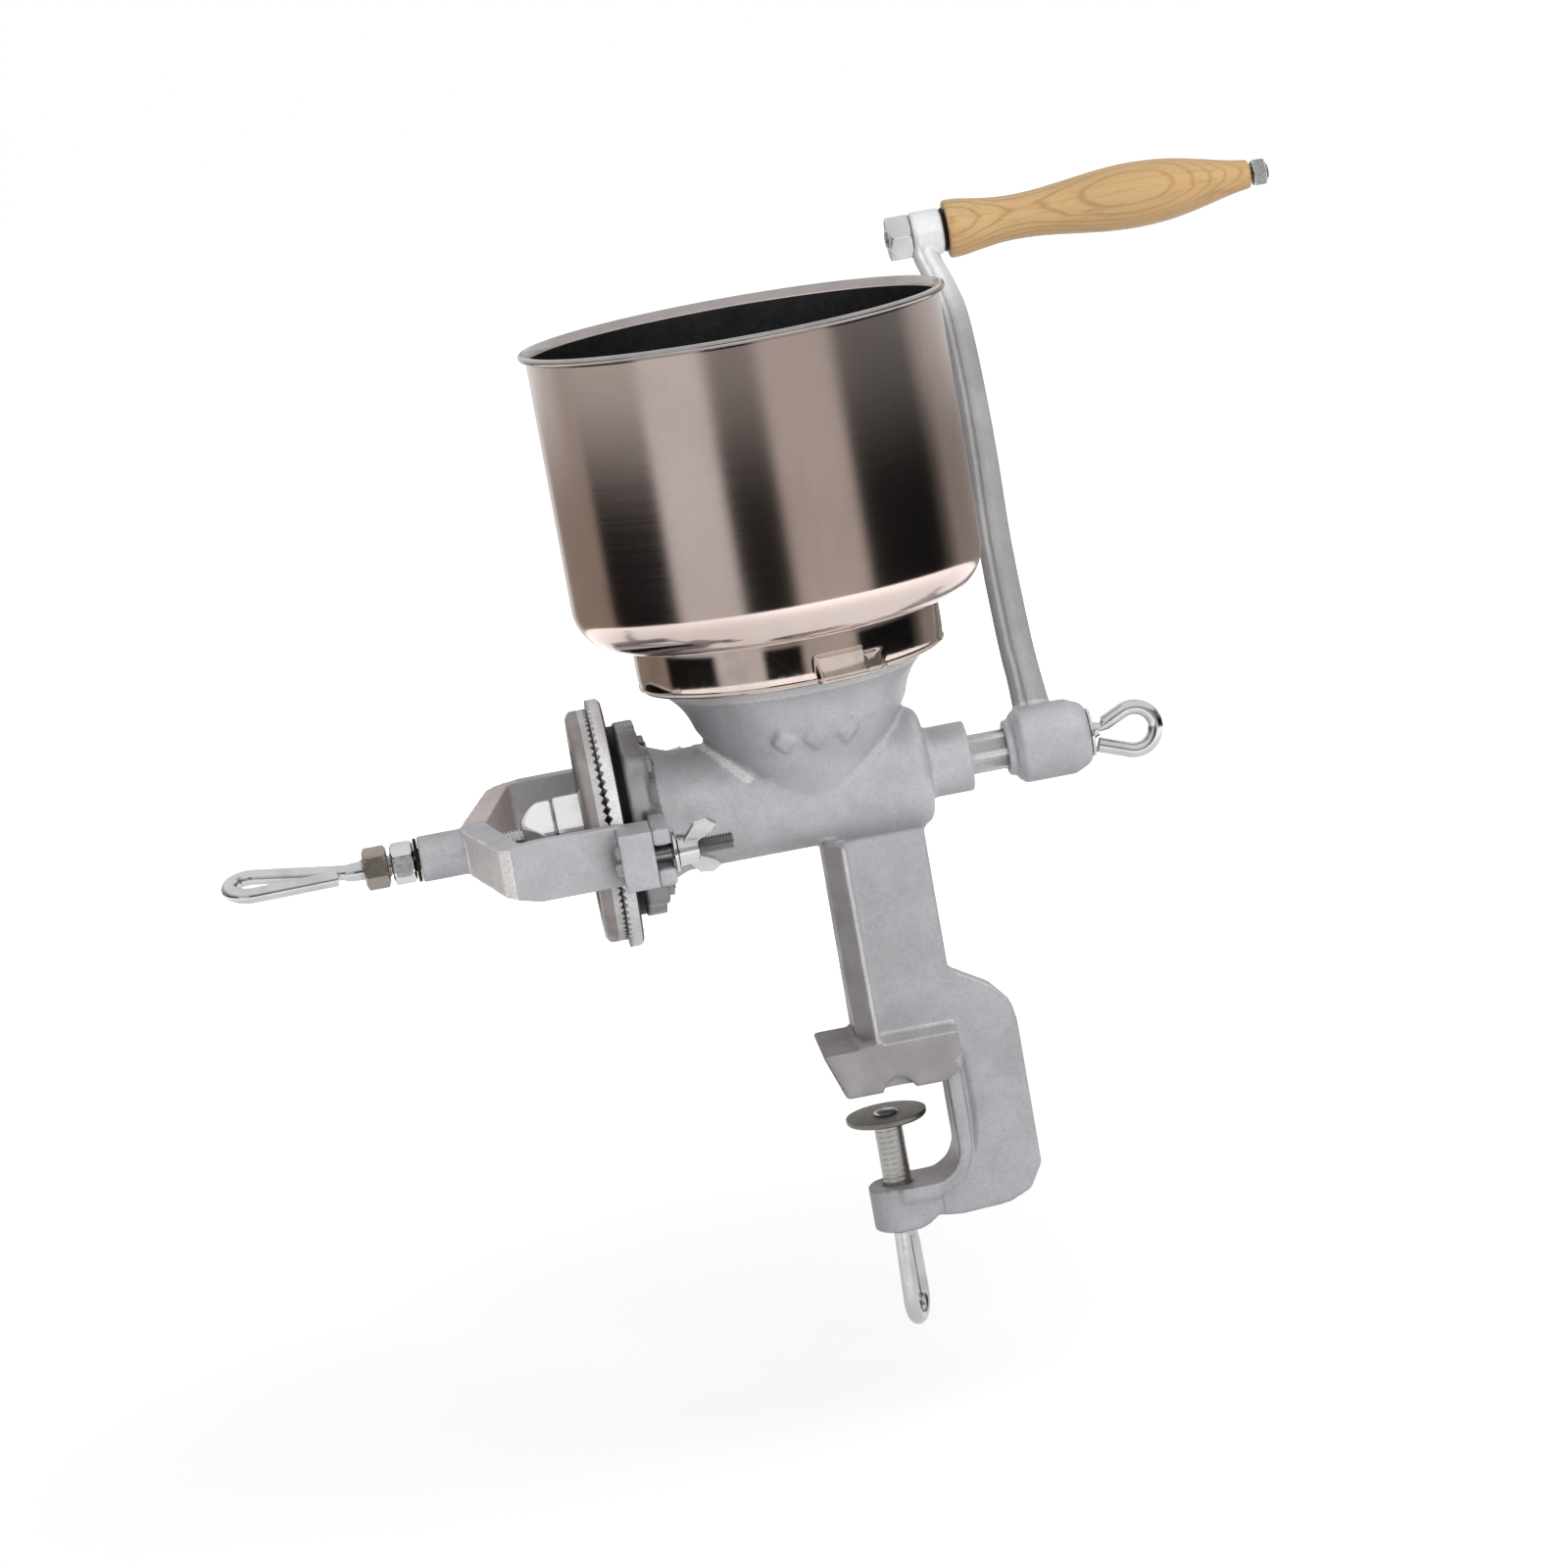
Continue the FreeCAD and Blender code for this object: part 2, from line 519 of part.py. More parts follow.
def hopper_collar():
    """Band under the bowl with two stamped bayonet pockets."""
    inner_r = COLLAR_R - COLLAR_T
    band = post(COLLAR_R, COLLAR_Z0, FLOOR_Z)
    pocket_r = inner_r + LUG_OUT + POCKET_ROOM
    z0 = COLLAR_Z0 + LUG_Z - LUG_H / 2 - POCKET_ROOM
    z1 = COLLAR_Z0 + LUG_Z + LUG_H / 2 + POCKET_ROOM
    hollow = post(inner_r, COLLAR_Z0 - 1, FLOOR_Z + 1)
    for angle in (POCKET_AT, POCKET_AT + 180):
        band = band.fuse(ring_sector(inner_r, pocket_r + POCKET_T, COLLAR_Z0, z1 + POCKET_T,
                                     angle, POCKET_DEG + 3))
        hollow = hollow.fuse(ring_sector(inner_r - 1, pocket_r, z0, z1, angle, POCKET_DEG))
        entry = LUG_DEG + 2
        hollow = hollow.fuse(ring_sector(inner_r - 1, pocket_r, COLLAR_Z0 - 1, z1,
                                         angle - (POCKET_DEG - entry) / 2, entry))
    return band.cut(hollow).removeSplitter()


# --- burrs --------------------------------------------------------------------------------
def tooth_grooves(face_x, outer_r):
    """Radial grooves cut into a burr's grinding face."""
    groove = block(face_x - TOOTH_DEPTH, face_x + TOOTH_DEPTH, TOOTH_INNER_R, outer_r + 1,
                   SHAFT_Z - TOOTH_W / 2, SHAFT_Z + TOOTH_W / 2)
    grooves = []
    for i in range(TOOTH_COUNT):
        copy = groove.copy()
        copy.rotate(SHAFT, X_AXIS, 360 / TOOTH_COUNT * i)
        grooves.append(copy)
    return Part.makeCompound(grooves)


def fixed_burr():
    """Plate screwed to the flange, toothed on its left face."""
    plate = fused(rod(FIXED_BURR_R, FIXED_FACE_X, FIXED_FACE_X + FIXED_BURR_T),
                  rod(BURR_SEAT_R, FIXED_FACE_X + 1, FLANGE_X0))
    plate = plate.cut(rod(BARREL_BORE_R, FIXED_FACE_X - 1, FLANGE_X0 + 1))
    for y, z in fixed_screw_places():
        plate = plate.cut(rod(BURR_SCREW_R + RUN_FIT, FIXED_FACE_X - 1, FLANGE_X0 + 1, y, z))
        plate = plate.cut(rod(BURR_SCREW_HEAD_R + RUN_FIT, FIXED_FACE_X - 1, FIXED_FACE_X + 3, y, z))
    return plate.cut(tooth_grooves(FIXED_FACE_X, FIXED_BURR_R))


def fixed_burr_screws():
    """Four screws sunk in the fixed burr, through the flange."""
    tail_x = FLANGE_BACK_X + FIXED_NUT_T + 0.5
    return [fused(rod(BURR_SCREW_HEAD_R, FIXED_FACE_X + TOOTH_DEPTH, FIXED_FACE_X + 3, y, z),
                  rod(BURR_SCREW_R, FIXED_FACE_X + 2, tail_x, y, z)) for y, z in fixed_screw_places()]


def fixed_burr_nuts():
    """Their nuts, on the back of the flange."""
    return [hex_nut(FIXED_NUT_AF, BURR_SCREW_R + RUN_FIT, FLANGE_BACK_X, FLANGE_BACK_X + FIXED_NUT_T, y, z)
            for y, z in fixed_screw_places()]


def carrier_screw_places():
    """(y, z) of the screws between carrier and rotating burr."""
    return circle_places(BURR_SCREW_CIRCLE_R, CARRIER_SCREW_COUNT, 90)


def rotating_burr():
    """Toothed plate that turns against the fixed one."""
    plate = rod(ROTATING_BURR_R, ROTATING_BACK_X, ROTATING_FACE_X)
    plate = plate.cut(rod(ROTATING_BURR_BORE_R, ROTATING_BACK_X - 1, ROTATING_FACE_X + 1))
    for y, z in carrier_screw_places():
        plate = plate.cut(rod(BURR_SCREW_R + RUN_FIT, ROTATING_BACK_X - 1, ROTATING_FACE_X + 1, y, z))
    return plate.cut(tooth_grooves(ROTATING_FACE_X, ROTATING_BURR_R))


def drive_pin():
    """Cross pin through the carrier's hub and the auger."""
    return Part.makeCylinder(DRIVE_PIN_R, 2 * CARRIER_HUB_R, V(DRIVE_PIN_X, -CARRIER_HUB_R, SHAFT_Z), Y_AXIS)


def pin_hole():
    """Hole for the drive pin."""
    return Part.makeCylinder(DRIVE_PIN_R + RUN_FIT, 2 * CARRIER_HUB_R + 2,
                             V(DRIVE_PIN_X, -CARRIER_HUB_R - 1, SHAFT_Z), Y_AXIS)


def burr_carrier():
    """Dished disc and hub that turn the rotating burr."""
    disc = rod(ROTATING_BURR_R, CARRIER_X, ROTATING_BACK_X)
    disc = disc.cut(rod(CARRIER_DISH_R, CARRIER_X - 1, CARRIER_X + CARRIER_DISH))
    solid = fused(disc, rod(CARRIER_HUB_R, CARRIER_HUB_X, ROTATING_BACK_X))
    solid = solid.cut(rod(AUGER_SHAFT_R + RUN_FIT, CARRIER_HUB_X - 1, ROTATING_BACK_X + 1)).cut(pin_hole())
    for y, z in carrier_screw_places():
        solid = solid.cut(rod(BURR_SCREW_R + RUN_FIT, CARRIER_X - 1, ROTATING_BACK_X + 1, y, z))
    return solid


def carrier_screws():
    """Screws from the carrier into the rotating burr."""
    head_x = CARRIER_X + CARRIER_DISH
    return [fused(rod(BURR_SCREW_HEAD_R, head_x - 1.6, head_x, y, z),
                  rod(BURR_SCREW_R, head_x - 1, ROTATING_FACE_X - TOOTH_DEPTH - 0.2, y, z))
            for y, z in carrier_screw_places()]


# --- auger --------------------------------------------------------------------------------
def auger():
    """Feed screw with its left shaft, journal, fluted shank and threaded end bore."""
    flight_r = BARREL_BORE_R - AUGER_ROOM
    flight_x0 = FLANGE_X0 + 3
    helix = Part.makeHelix(AUGER_PITCH, AUGER_PITCH * AUGER_TURNS, flight_r)
    inner_r = AUGER_CORE_R - 1.5
    half_t = FLIGHT_T / 2
    profile = Part.makePolygon([V(inner_r, 0, -half_t), V(flight_r, 0, -half_t), V(flight_r, 0, half_t),
                                V(inner_r, 0, half_t), V(inner_r, 0, -half_t)])
    flight = Part.Wire(helix).makePipeShell([profile], True, True)
    flight.rotate(V(), Y_AXIS, 90)
    flight.translate(V(flight_x0 + half_t, 0, SHAFT_Z))
    core_x1 = BARREL_X1 - BARREL_CAP - 1
    solid = fused(
        rod(AUGER_SHAFT_R, CARRIER_HUB_X, flight_x0 + 1),
        rod(AUGER_CORE_R, flight_x0, core_x1),
        flight,
        rod(JOURNAL_R, core_x1 - 2, BOSS_X1 - 1),
        rod(SHANK_R, BOSS_X1 - 2, SHANK_X1))
    for i in range(FLUTE_COUNT):
        angle = math.radians(360 / FLUTE_COUNT * i)
        y = SHANK_R * 1.04 * math.cos(angle)
        z = SHAFT_Z + SHANK_R * 1.04 * math.sin(angle)
        solid = solid.cut(rod(FLUTE_R, BOSS_X1 - 0.5, SHANK_X1 + 1, y, z))
    solid = solid.cut(rod(CRANK_SCREW_R + RUN_FIT, CRANK_EYE_X - CRANK_SCREW_L - 1, SHANK_X1 + 1))
    solid = solid.cut(Part.makeSphere(BALL_R + GAP, V(BALL_X, 0, SHAFT_Z)))
    return solid.cut(pin_hole())


# --- yoke, studs, wing nuts ---------------------------------------------------------------
def yoke():
    """Bow over the burrs: threaded hub, slanted cross plates, two arms and two feet."""
    foot_x0 = EAR_X0 - FOOT_T
    inner = YOKE_HALF_W - YOKE_T
    half = [(YOKE_ROOT_X - 1, 0), (YOKE_ROOT_X, YOKE_HUB_R - 1), (YOKE_BEND_X, YOKE_HALF_W - 3),
            (YOKE_BEND_X + 4, YOKE_HALF_W), (foot_x0 + 2, YOKE_HALF_W), (foot_x0 + 2, inner),
            (YOKE_BEND_X + YOKE_CROWN_T, inner), (YOKE_ROOT_X + YOKE_CROWN_T, 0)]
    mirrored = [(x, -y) for x, y in reversed(half[1:-1])]
    corners = [V(x, y, SHAFT_Z - 2 * YOKE_HALF_H) for x, y in half + mirrored]
    plan = Part.Face(Part.makePolygon(corners + [corners[0]])).extrude(V(0, 0, 4 * YOKE_HALF_H))
    full_x = YOKE_BEND_X + 12
    top = [(YOKE_ROOT_X - 2, YOKE_HUB_R), (YOKE_BEND_X, YOKE_BEND_TOP), (full_x, YOKE_HALF_H),
           (EAR_X0, YOKE_HALF_H)]
    low = [(EAR_X0, YOKE_HALF_H), (full_x, YOKE_HALF_H), (YOKE_BEND_X, YOKE_BEND_LOW),
           (YOKE_ROOT_X - 2, YOKE_HUB_R)]
    profile = [(x, SHAFT_Z + h) for x, h in top] + [(x, SHAFT_Z - h) for x, h in low]
    solid = plan.common(side_prism(profile, 2 * YOKE_HALF_W))
    parts = [rod(YOKE_HUB_R, YOKE_HUB_X0, YOKE_ROOT_X + YOKE_T)]
    for side in (1, -1):
        y0, y1 = sorted((side * inner, side * (STUD_Y + FOOT_OUT)))
        parts.append(block(foot_x0, EAR_X0, y0, y1, SHAFT_Z - FOOT_HALF_H, SHAFT_Z + FOOT_HALF_H))
    solid = fused(solid, *parts)
    solid = solid.cut(rod(ADJUSTER_R + RUN_FIT, YOKE_HUB_X0 - 1, YOKE_ROOT_X + 2 * YOKE_CROWN_T))
    for side in (1, -1):
        solid = solid.cut(rod(STUD_R + RUN_FIT, foot_x0 - 1, EAR_X0 + 1, side * STUD_Y))
    return tilted(solid)


def yoke_studs():
    """Two studs with round heads, through the feet and the ears."""
    head_x = EAR_X0 - FOOT_T - STUD_HEAD_T
    studs = []
    for side in (1, -1):
        head = rod(STUD_HEAD_R, head_x, head_x + STUD_HEAD_T, side * STUD_Y)
        rim = [edge for edge in head.Edges if abs(edge.CenterOfMass.x - head_x) < 0.01]
        head = head.makeFillet(1.5, rim)
        studs.append(tilted(fused(head, rod(STUD_R, head_x + 1, EAR_X1 + STUD_TAIL, side * STUD_Y))))
    return studs


def wing_washer(side):
    """Washer between an ear and its wing nut."""
    x0 = EAR_X1 + GAP
    disc = rod(WING_WASHER_R, x0, x0 + WING_WASHER_T, side * STUD_Y)
    return tilted(disc.cut(rod(STUD_R + RUN_FIT, x0 - 1, x0 + WING_WASHER_T + 1, side * STUD_Y)))


def wing_nut(side):
    """Cast wing nut with two swept wings."""
    x0 = EAR_X1 + GAP + WING_WASHER_T + GAP
    hub = cone(WING_HUB_R, WING_HUB_TOP_R, x0, x0 + WING_HUB_L)
    tip_x = x0 + WING_FLARE
    root_x = x0 + WING_HUB_L - 0.5
    outline = [(x0 + 1, 0), (x0 + 1.5, 4), (tip_x - 7.5, WING_SPAN - 1), (tip_x - 3, WING_SPAN),
               (tip_x, WING_SPAN - 3), (tip_x - 1.5, WING_SPAN - 6), (root_x, 3.5), (root_x, 0)]
    corners = [V(x, h, SHAFT_Z - WING_T / 2) for x, h in outline]
    wing = Part.Face(Part.makePolygon(corners + [corners[0]])).extrude(V(0, 0, WING_T))
    opposite = wing.mirror(SHAFT, Y_AXIS)
    nut = fused(hub, wing, opposite).cut(rod(STUD_R + RUN_FIT, x0 - 1, x0 + WING_FLARE + 1))
    nut.rotate(SHAFT, X_AXIS, WING_TURN)
    nut.translate(V(0, side * STUD_Y, 0))
    return tilted(nut)


# --- adjusting screw and thrust pieces ----------------------------------------------------
def lock_washer():
    """Washer between the yoke's hub and the lock nut."""
    disc = rod(LOCK_WASHER_R, LOCK_WASHER_X0, LOCK_WASHER_X0 + LOCK_WASHER_T)
    return disc.cut(rod(ADJUSTER_R + RUN_FIT, LOCK_WASHER_X0 - 1, LOCK_WASHER_X0 + LOCK_WASHER_T + 1))


def lock_nut():
    """Nut that locks the adjusting screw against the yoke."""
    return hex_nut(LOCK_NUT_AF, ADJUSTER_R + RUN_FIT, LOCK_NUT_X0, LOCK_NUT_X0 + LOCK_NUT_T)


def jam_nut():
    """Second nut, tight on the adjusting screw, turned half a flat."""
    nut = hex_nut(LOCK_NUT_AF, ADJUSTER_R + RUN_FIT, JAM_NUT_X0, JAM_NUT_X0 + JAM_NUT_T)
    nut.rotate(SHAFT, X_AXIS, 30)
    return nut


def adjusting_screw():
    """Threaded rod from the thrust cup to its bent eye, which lies nearly level."""
    solid = eye(ADJUSTER_EYE_REACH, ADJUSTER_ROD_L, ADJUSTER_R - 0.6)
    solid.rotate(V(), X_AXIS, 90 - ADJUSTER_EYE_TURN)
    solid.rotate(V(), Y_AXIS, -ADJUSTER_EYE_LIFT)
    solid.rotate(V(), Z_AXIS, 180)
    solid.translate(V(JAM_NUT_X0, 0, SHAFT_Z))
    return fused(rod(ADJUSTER_R, JAM_NUT_X0 - 1, CUP_X0 + CUP_DEPTH), solid)


def thrust_cup():
    """Domed cup on the end of the adjusting screw."""
    profile = [V(CUP_X1, 0, 0), V(CUP_X1, CUP_R, 0), V(CUP_X0 + 0.72 * CUP_L, CUP_R, 0),
               V(CUP_X0 + 0.25 * CUP_L, 0.83 * CUP_R, 0), V(CUP_X0, CUP_TOP_R, 0), V(CUP_X0, 0, 0)]
    edges = [Part.LineSegment(profile[0], profile[1]).toShape(),
             Part.LineSegment(profile[1], profile[2]).toShape(),
             Part.Arc(profile[2], profile[3], profile[4]).toShape(),
             Part.LineSegment(profile[4], profile[5]).toShape(),
             Part.LineSegment(profile[5], profile[0]).toShape()]
    cup = Part.Face(Part.Wire(edges)).revolve(V(), X_AXIS, 360)
    cup.translate(SHAFT)
    cup = cup.cut(rod(ADJUSTER_R + RUN_FIT, CUP_X0 - 1, CUP_X0 + CUP_DEPTH + GAP))
    return cup.cut(Part.makeSphere(BALL_R + RUN_FIT, V(BALL_X, 0, SHAFT_Z)))


def thrust_ball():
    """Steel ball between the cup and the end of the auger."""
    return Part.makeSphere(BALL_R, V(BALL_X, 0, SHAFT_Z))


# --- crank and handle ---------------------------------------------------------------------
def crank_arm():
    """Hub, bowed arm and handle boss in one casting."""
    root_x = CRANK_HUB_X0 + ARM_ROOT_X
    hub_chamfer = 2.5
    hub = fused(
        rod(CRANK_COLLAR_R, CRANK_HUB_X0 - CRANK_COLLAR_L, CRANK_HUB_X0 + 1),
        cone(CRANK_HUB_R - hub_chamfer, CRANK_HUB_R, CRANK_HUB_X0, CRANK_HUB_X0 + hub_chamfer),
        rod(CRANK_HUB_R, CRANK_HUB_X0 + hub_chamfer, CRANK_HUB_X1 - 2 * hub_chamfer),
        cone(CRANK_HUB_R, CRANK_HUB_R - 3, CRANK_HUB_X1 - 2 * hub_chamfer, CRANK_HUB_X1))
    stations = [(0.0, 0.0), (0.20, -0.35), (0.38, -0.15), (0.55, 0.6), (0.72, 1.0), (0.87, 0.9)]
    left = []
    right = []
    for share, bow in stations:
        half = (ARM_W + (ARM_TIP_W - ARM_W) * share) / 2
        middle = root_x + ARM_BOW * bow
        left.append((middle - half, SHAFT_Z + CRANK_THROW * share))
        right.append((middle + half, SHAFT_Z + CRANK_THROW * share))
    tip_half = ARM_TIP_W / 2 - 0.4
    for z in (handle_axis_z() - HANDLE_BOSS_R - 0.5, handle_axis_z() - 2):
        left.append((HANDLE_BOSS_X - tip_half + 0.6, z))
        right.append((HANDLE_BOSS_X + tip_half + 0.6, z))
    arm = side_prism(left + right[::-1], ARM_T / 2)
    boss = rod(HANDLE_BOSS_R, HANDLE_BOSS_X0, HANDLE_BOSS_X1, 0, SHAFT_Z + CRANK_THROW)
    solid = fused(hub, arm, boss)
    solid = solid.cut(rod(SHANK_R + RUN_FIT, CRANK_HUB_X0 - CRANK_COLLAR_L - 1, CRANK_HUB_X1 + 1))
    solid = solid.cut(rod(HANDLE_BOLT_R + RUN_FIT, HANDLE_BOSS_X0 - 1, HANDLE_BOSS_X1 + 1, 0,
                          SHAFT_Z + CRANK_THROW))
    return lean_back(solid)


def handle_axis_z():
    """Height of the handle's axis with the crank upright."""
    return SHAFT_Z + CRANK_THROW


def handle_bolt():
    """Long bolt that the wooden grip turns on."""
    bolt_x0 = HANDLE_BOSS_X0 - HANDLE_NUT_T - BOLT_TIP
    return lean_back(rod(HANDLE_BOLT_R, bolt_x0, BOLT_X1, 0, handle_axis_z()))


def handle_nut():
    """Nut left of the handle boss."""
    return lean_back(hex_nut(HANDLE_NUT_AF, HANDLE_BOLT_R + RUN_FIT, HANDLE_BOSS_X0 - HANDLE_NUT_T,
                             HANDLE_BOSS_X0, 0, handle_axis_z()))


def handle_washer():
    """Thick dark washer between the boss and the grip."""
    disc = rod(HANDLE_WASHER_R, HANDLE_BOSS_X1, HANDLE_WASHER_X1, 0, handle_axis_z())
    return lean_back(disc.cut(rod(HANDLE_BOLT_R + RUN_FIT, HANDLE_BOSS_X1 - 1, HANDLE_WASHER_X1 + 1, 0,
                                  handle_axis_z())))


def end_nut():
    """Nut on the free end of the handle bolt."""
    return lean_back(hex_nut(END_NUT_AF, HANDLE_BOLT_R + RUN_FIT, END_NUT_X0, END_NUT_X0 + END_NUT_T, 0,
                             handle_axis_z()))


def handle_grip():
    """Turned wooden grip with a neck and a belly."""
    stations = [(0.0, GRIP_END_R), (0.1, (GRIP_END_R + GRIP_NECK_R) / 2), (0.23, GRIP_NECK_R),
                (0.42, (GRIP_NECK_R + GRIP_BELLY_R) / 2), (0.62, GRIP_BELLY_R),
                (0.84, (GRIP_BELLY_R + GRIP_TIP_R) / 2 + 0.4), (1.0, GRIP_TIP_R)]
    curve = Part.BSplineCurve()
    curve.interpolate([V(GRIP_X0 + share * GRIP_L, radius, 0) for share, radius in stations])
    start = V(GRIP_X0, 0, 0)
    end = V(GRIP_X1, 0, 0)
    edges = [Part.LineSegment(start, V(GRIP_X0, GRIP_END_R, 0)).toShape(), curve.toShape(),
             Part.LineSegment(V(GRIP_X1, GRIP_TIP_R, 0), end).toShape(),
             Part.LineSegment(end, start).toShape()]
    grip = Part.Face(Part.Wire(edges)).revolve(V(), X_AXIS, 360)
    grip.translate(V(0, 0, handle_axis_z()))
    return lean_back(grip.cut(rod(HANDLE_BOLT_R + RUN_FIT, GRIP_X0 - 1, GRIP_X1 + 1, 0, handle_axis_z())))


def crank_washer():
    """Washer between the crank's hub and its eye screw."""
    disc = rod(CRANK_WASHER_R, CRANK_WASHER_X0, CRANK_WASHER_X0 + CRANK_WASHER_T)
    return disc.cut(rod(CRANK_SCREW_R + RUN_FIT, CRANK_WASHER_X0 - 1, CRANK_WASHER_X0 + CRANK_WASHER_T + 1))


def crank_screw():
    """Eye screw in the end of the shank, its eye upright."""
    solid = eye(CRANK_EYE_REACH, CRANK_SCREW_L, CRANK_SCREW_R)
    solid.translate(V(CRANK_EYE_X - CRANK_SCREW_L, 0, SHAFT_Z))
    return solid


# --- clamp --------------------------------------------------------------------------------
def clamp_screw():
    """Screw with a riveted neck for the pad and a bent eye below."""
    solid = eye(CLAMP_EYE_REACH, 4.0, WIRE_R)
    solid.rotate(V(), Y_AXIS, 90)
    solid.rotate(V(), Z_AXIS, CLAMP_EYE_TURN)
    solid.translate(V(CLAMP_SCREW_X, 0, CLAMP_EYE_Z + 4.0))
    pad_z0 = PAD_Z - RIVET_H - PAD_T
    return fused(
        post(CLAMP_SCREW_R, CLAMP_EYE_Z, pad_z0 - GAP, CLAMP_SCREW_X), solid,
        post(CLAMP_NECK_R, pad_z0 - 1, PAD_Z - RIVET_H / 2, CLAMP_SCREW_X),
        Part.makeCone(RIVET_R, RIVET_R - 1, RIVET_H, V(CLAMP_SCREW_X, 0, PAD_Z - RIVET_H + GAP), Z_AXIS))


def clamp_pad():
    """Swivelling pad on the clamp screw's neck."""
    top = PAD_Z - RIVET_H
    disc = post(PAD_R, top - PAD_T, top, CLAMP_SCREW_X)
    return disc.cut(post(CLAMP_NECK_R + RUN_FIT, top - PAD_T - 1, top + 1, CLAMP_SCREW_X))


# --- write every node ---------------------------------------------------------------------
NODES = {
    "mill_body": mill_body,
    "fixed_burr": fixed_burr,
    "fixed_burr_screws": fixed_burr_screws,
    "fixed_burr_nuts": fixed_burr_nuts,
    "yoke": yoke,
    "yoke_studs": yoke_studs,
    "near_washer": lambda: wing_washer(-1),
    "near_wing_nut": lambda: wing_nut(-1),
    "far_washer": lambda: wing_washer(1),
    "far_wing_nut": lambda: wing_nut(1),
    "lock_washer": lock_washer,
    "lock_nut": lock_nut,
    "adjusting_screw": adjusting_screw,
    "jam_nut": jam_nut,
    "thrust_cup": thrust_cup,
    "thrust_ball": thrust_ball,
    "auger": auger,
    "drive_pin": drive_pin,
    "rotating_burr": rotating_burr,
    "burr_carrier": burr_carrier,
    "carrier_screws": carrier_screws,
    "crank_arm": crank_arm,
    "handle_bolt": handle_bolt,
    "handle_nut": handle_nut,
    "handle_washer": handle_washer,
    "end_nut": end_nut,
    "handle_grip": handle_grip,
    "crank_washer": crank_washer,
    "crank_screw": crank_screw,
    "clamp_screw": clamp_screw,
    "clamp_pad": clamp_pad,
    "hopper_bowl": hopper_bowl,
    "hopper_collar": hopper_collar,
}


def main():
    """Build every node and write its STEP file."""
    os.makedirs("parts", exist_ok=True)
    for name, build in NODES.items():
        shape = build()
        solids = shape if isinstance(shape, list) else shape.Solids
        result = Part.makeCompound(solids) if len(solids) > 1 else solids[0]
        print(name, len(solids), round(result.Volume, 1), result.isValid())
        result.exportStep("parts/%s.step" % name)


main()
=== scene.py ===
"""Looks of a hand crank grinder: hopper, casting, burrs, yoke, screws, crank and clamp.

Lengths in the classes are millimetres in the part's own frame: +X runs along the shaft
towards the crank, +Z is up, and the origin lies on the table seat under the hopper's axis.
"""
import logging
import math
from dataclasses import dataclass, field
from enum import Enum, IntEnum
from functools import cache, cached_property
from typing import Callable, Sequence

import bmesh
import bpy
from mathutils import Matrix, Vector
from mathutils.bvhtree import BVHTree


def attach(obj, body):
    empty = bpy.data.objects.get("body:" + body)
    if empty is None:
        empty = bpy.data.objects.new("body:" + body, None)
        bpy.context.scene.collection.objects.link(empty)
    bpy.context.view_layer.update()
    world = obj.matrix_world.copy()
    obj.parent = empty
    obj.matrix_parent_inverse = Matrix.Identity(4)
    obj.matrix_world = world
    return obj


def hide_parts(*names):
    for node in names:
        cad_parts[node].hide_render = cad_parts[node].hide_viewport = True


MM = 0.001
TAU = 2 * math.pi
SHAFT_Z = 108.0
THROW = 190.0        # crank's throw
LEAN = 24.0          # crank's lean towards +Y at rest, in degrees
SCREW_RING = 29.3    # radius on which the fixed burr's screws lie
M6_BORE = 3.05       # radius of a hole round an M6 thread
LOG = logging.getLogger("grinder")

Colour = tuple[float, float, float]
Outline = Sequence[tuple[float, float]]
Point = tuple[float, float, float]
Stops = Sequence[tuple[float, Colour]]
Material = bpy.types.Material
Mesh = bpy.types.Mesh
Piece = bpy.types.Object
Socket = bpy.types.NodeSocket
WHITE: Colour = (1.0, 1.0, 1.0)


def srgb(*channels: int) -> Colour:
    """Linear colour of red, green and blue from 0 to 255."""
    shares = (value / 255 for value in channels)
    return tuple(s / 12.92 if s <= 0.04045 else ((s + 0.055) / 1.055) ** 2.4 for s in shares)


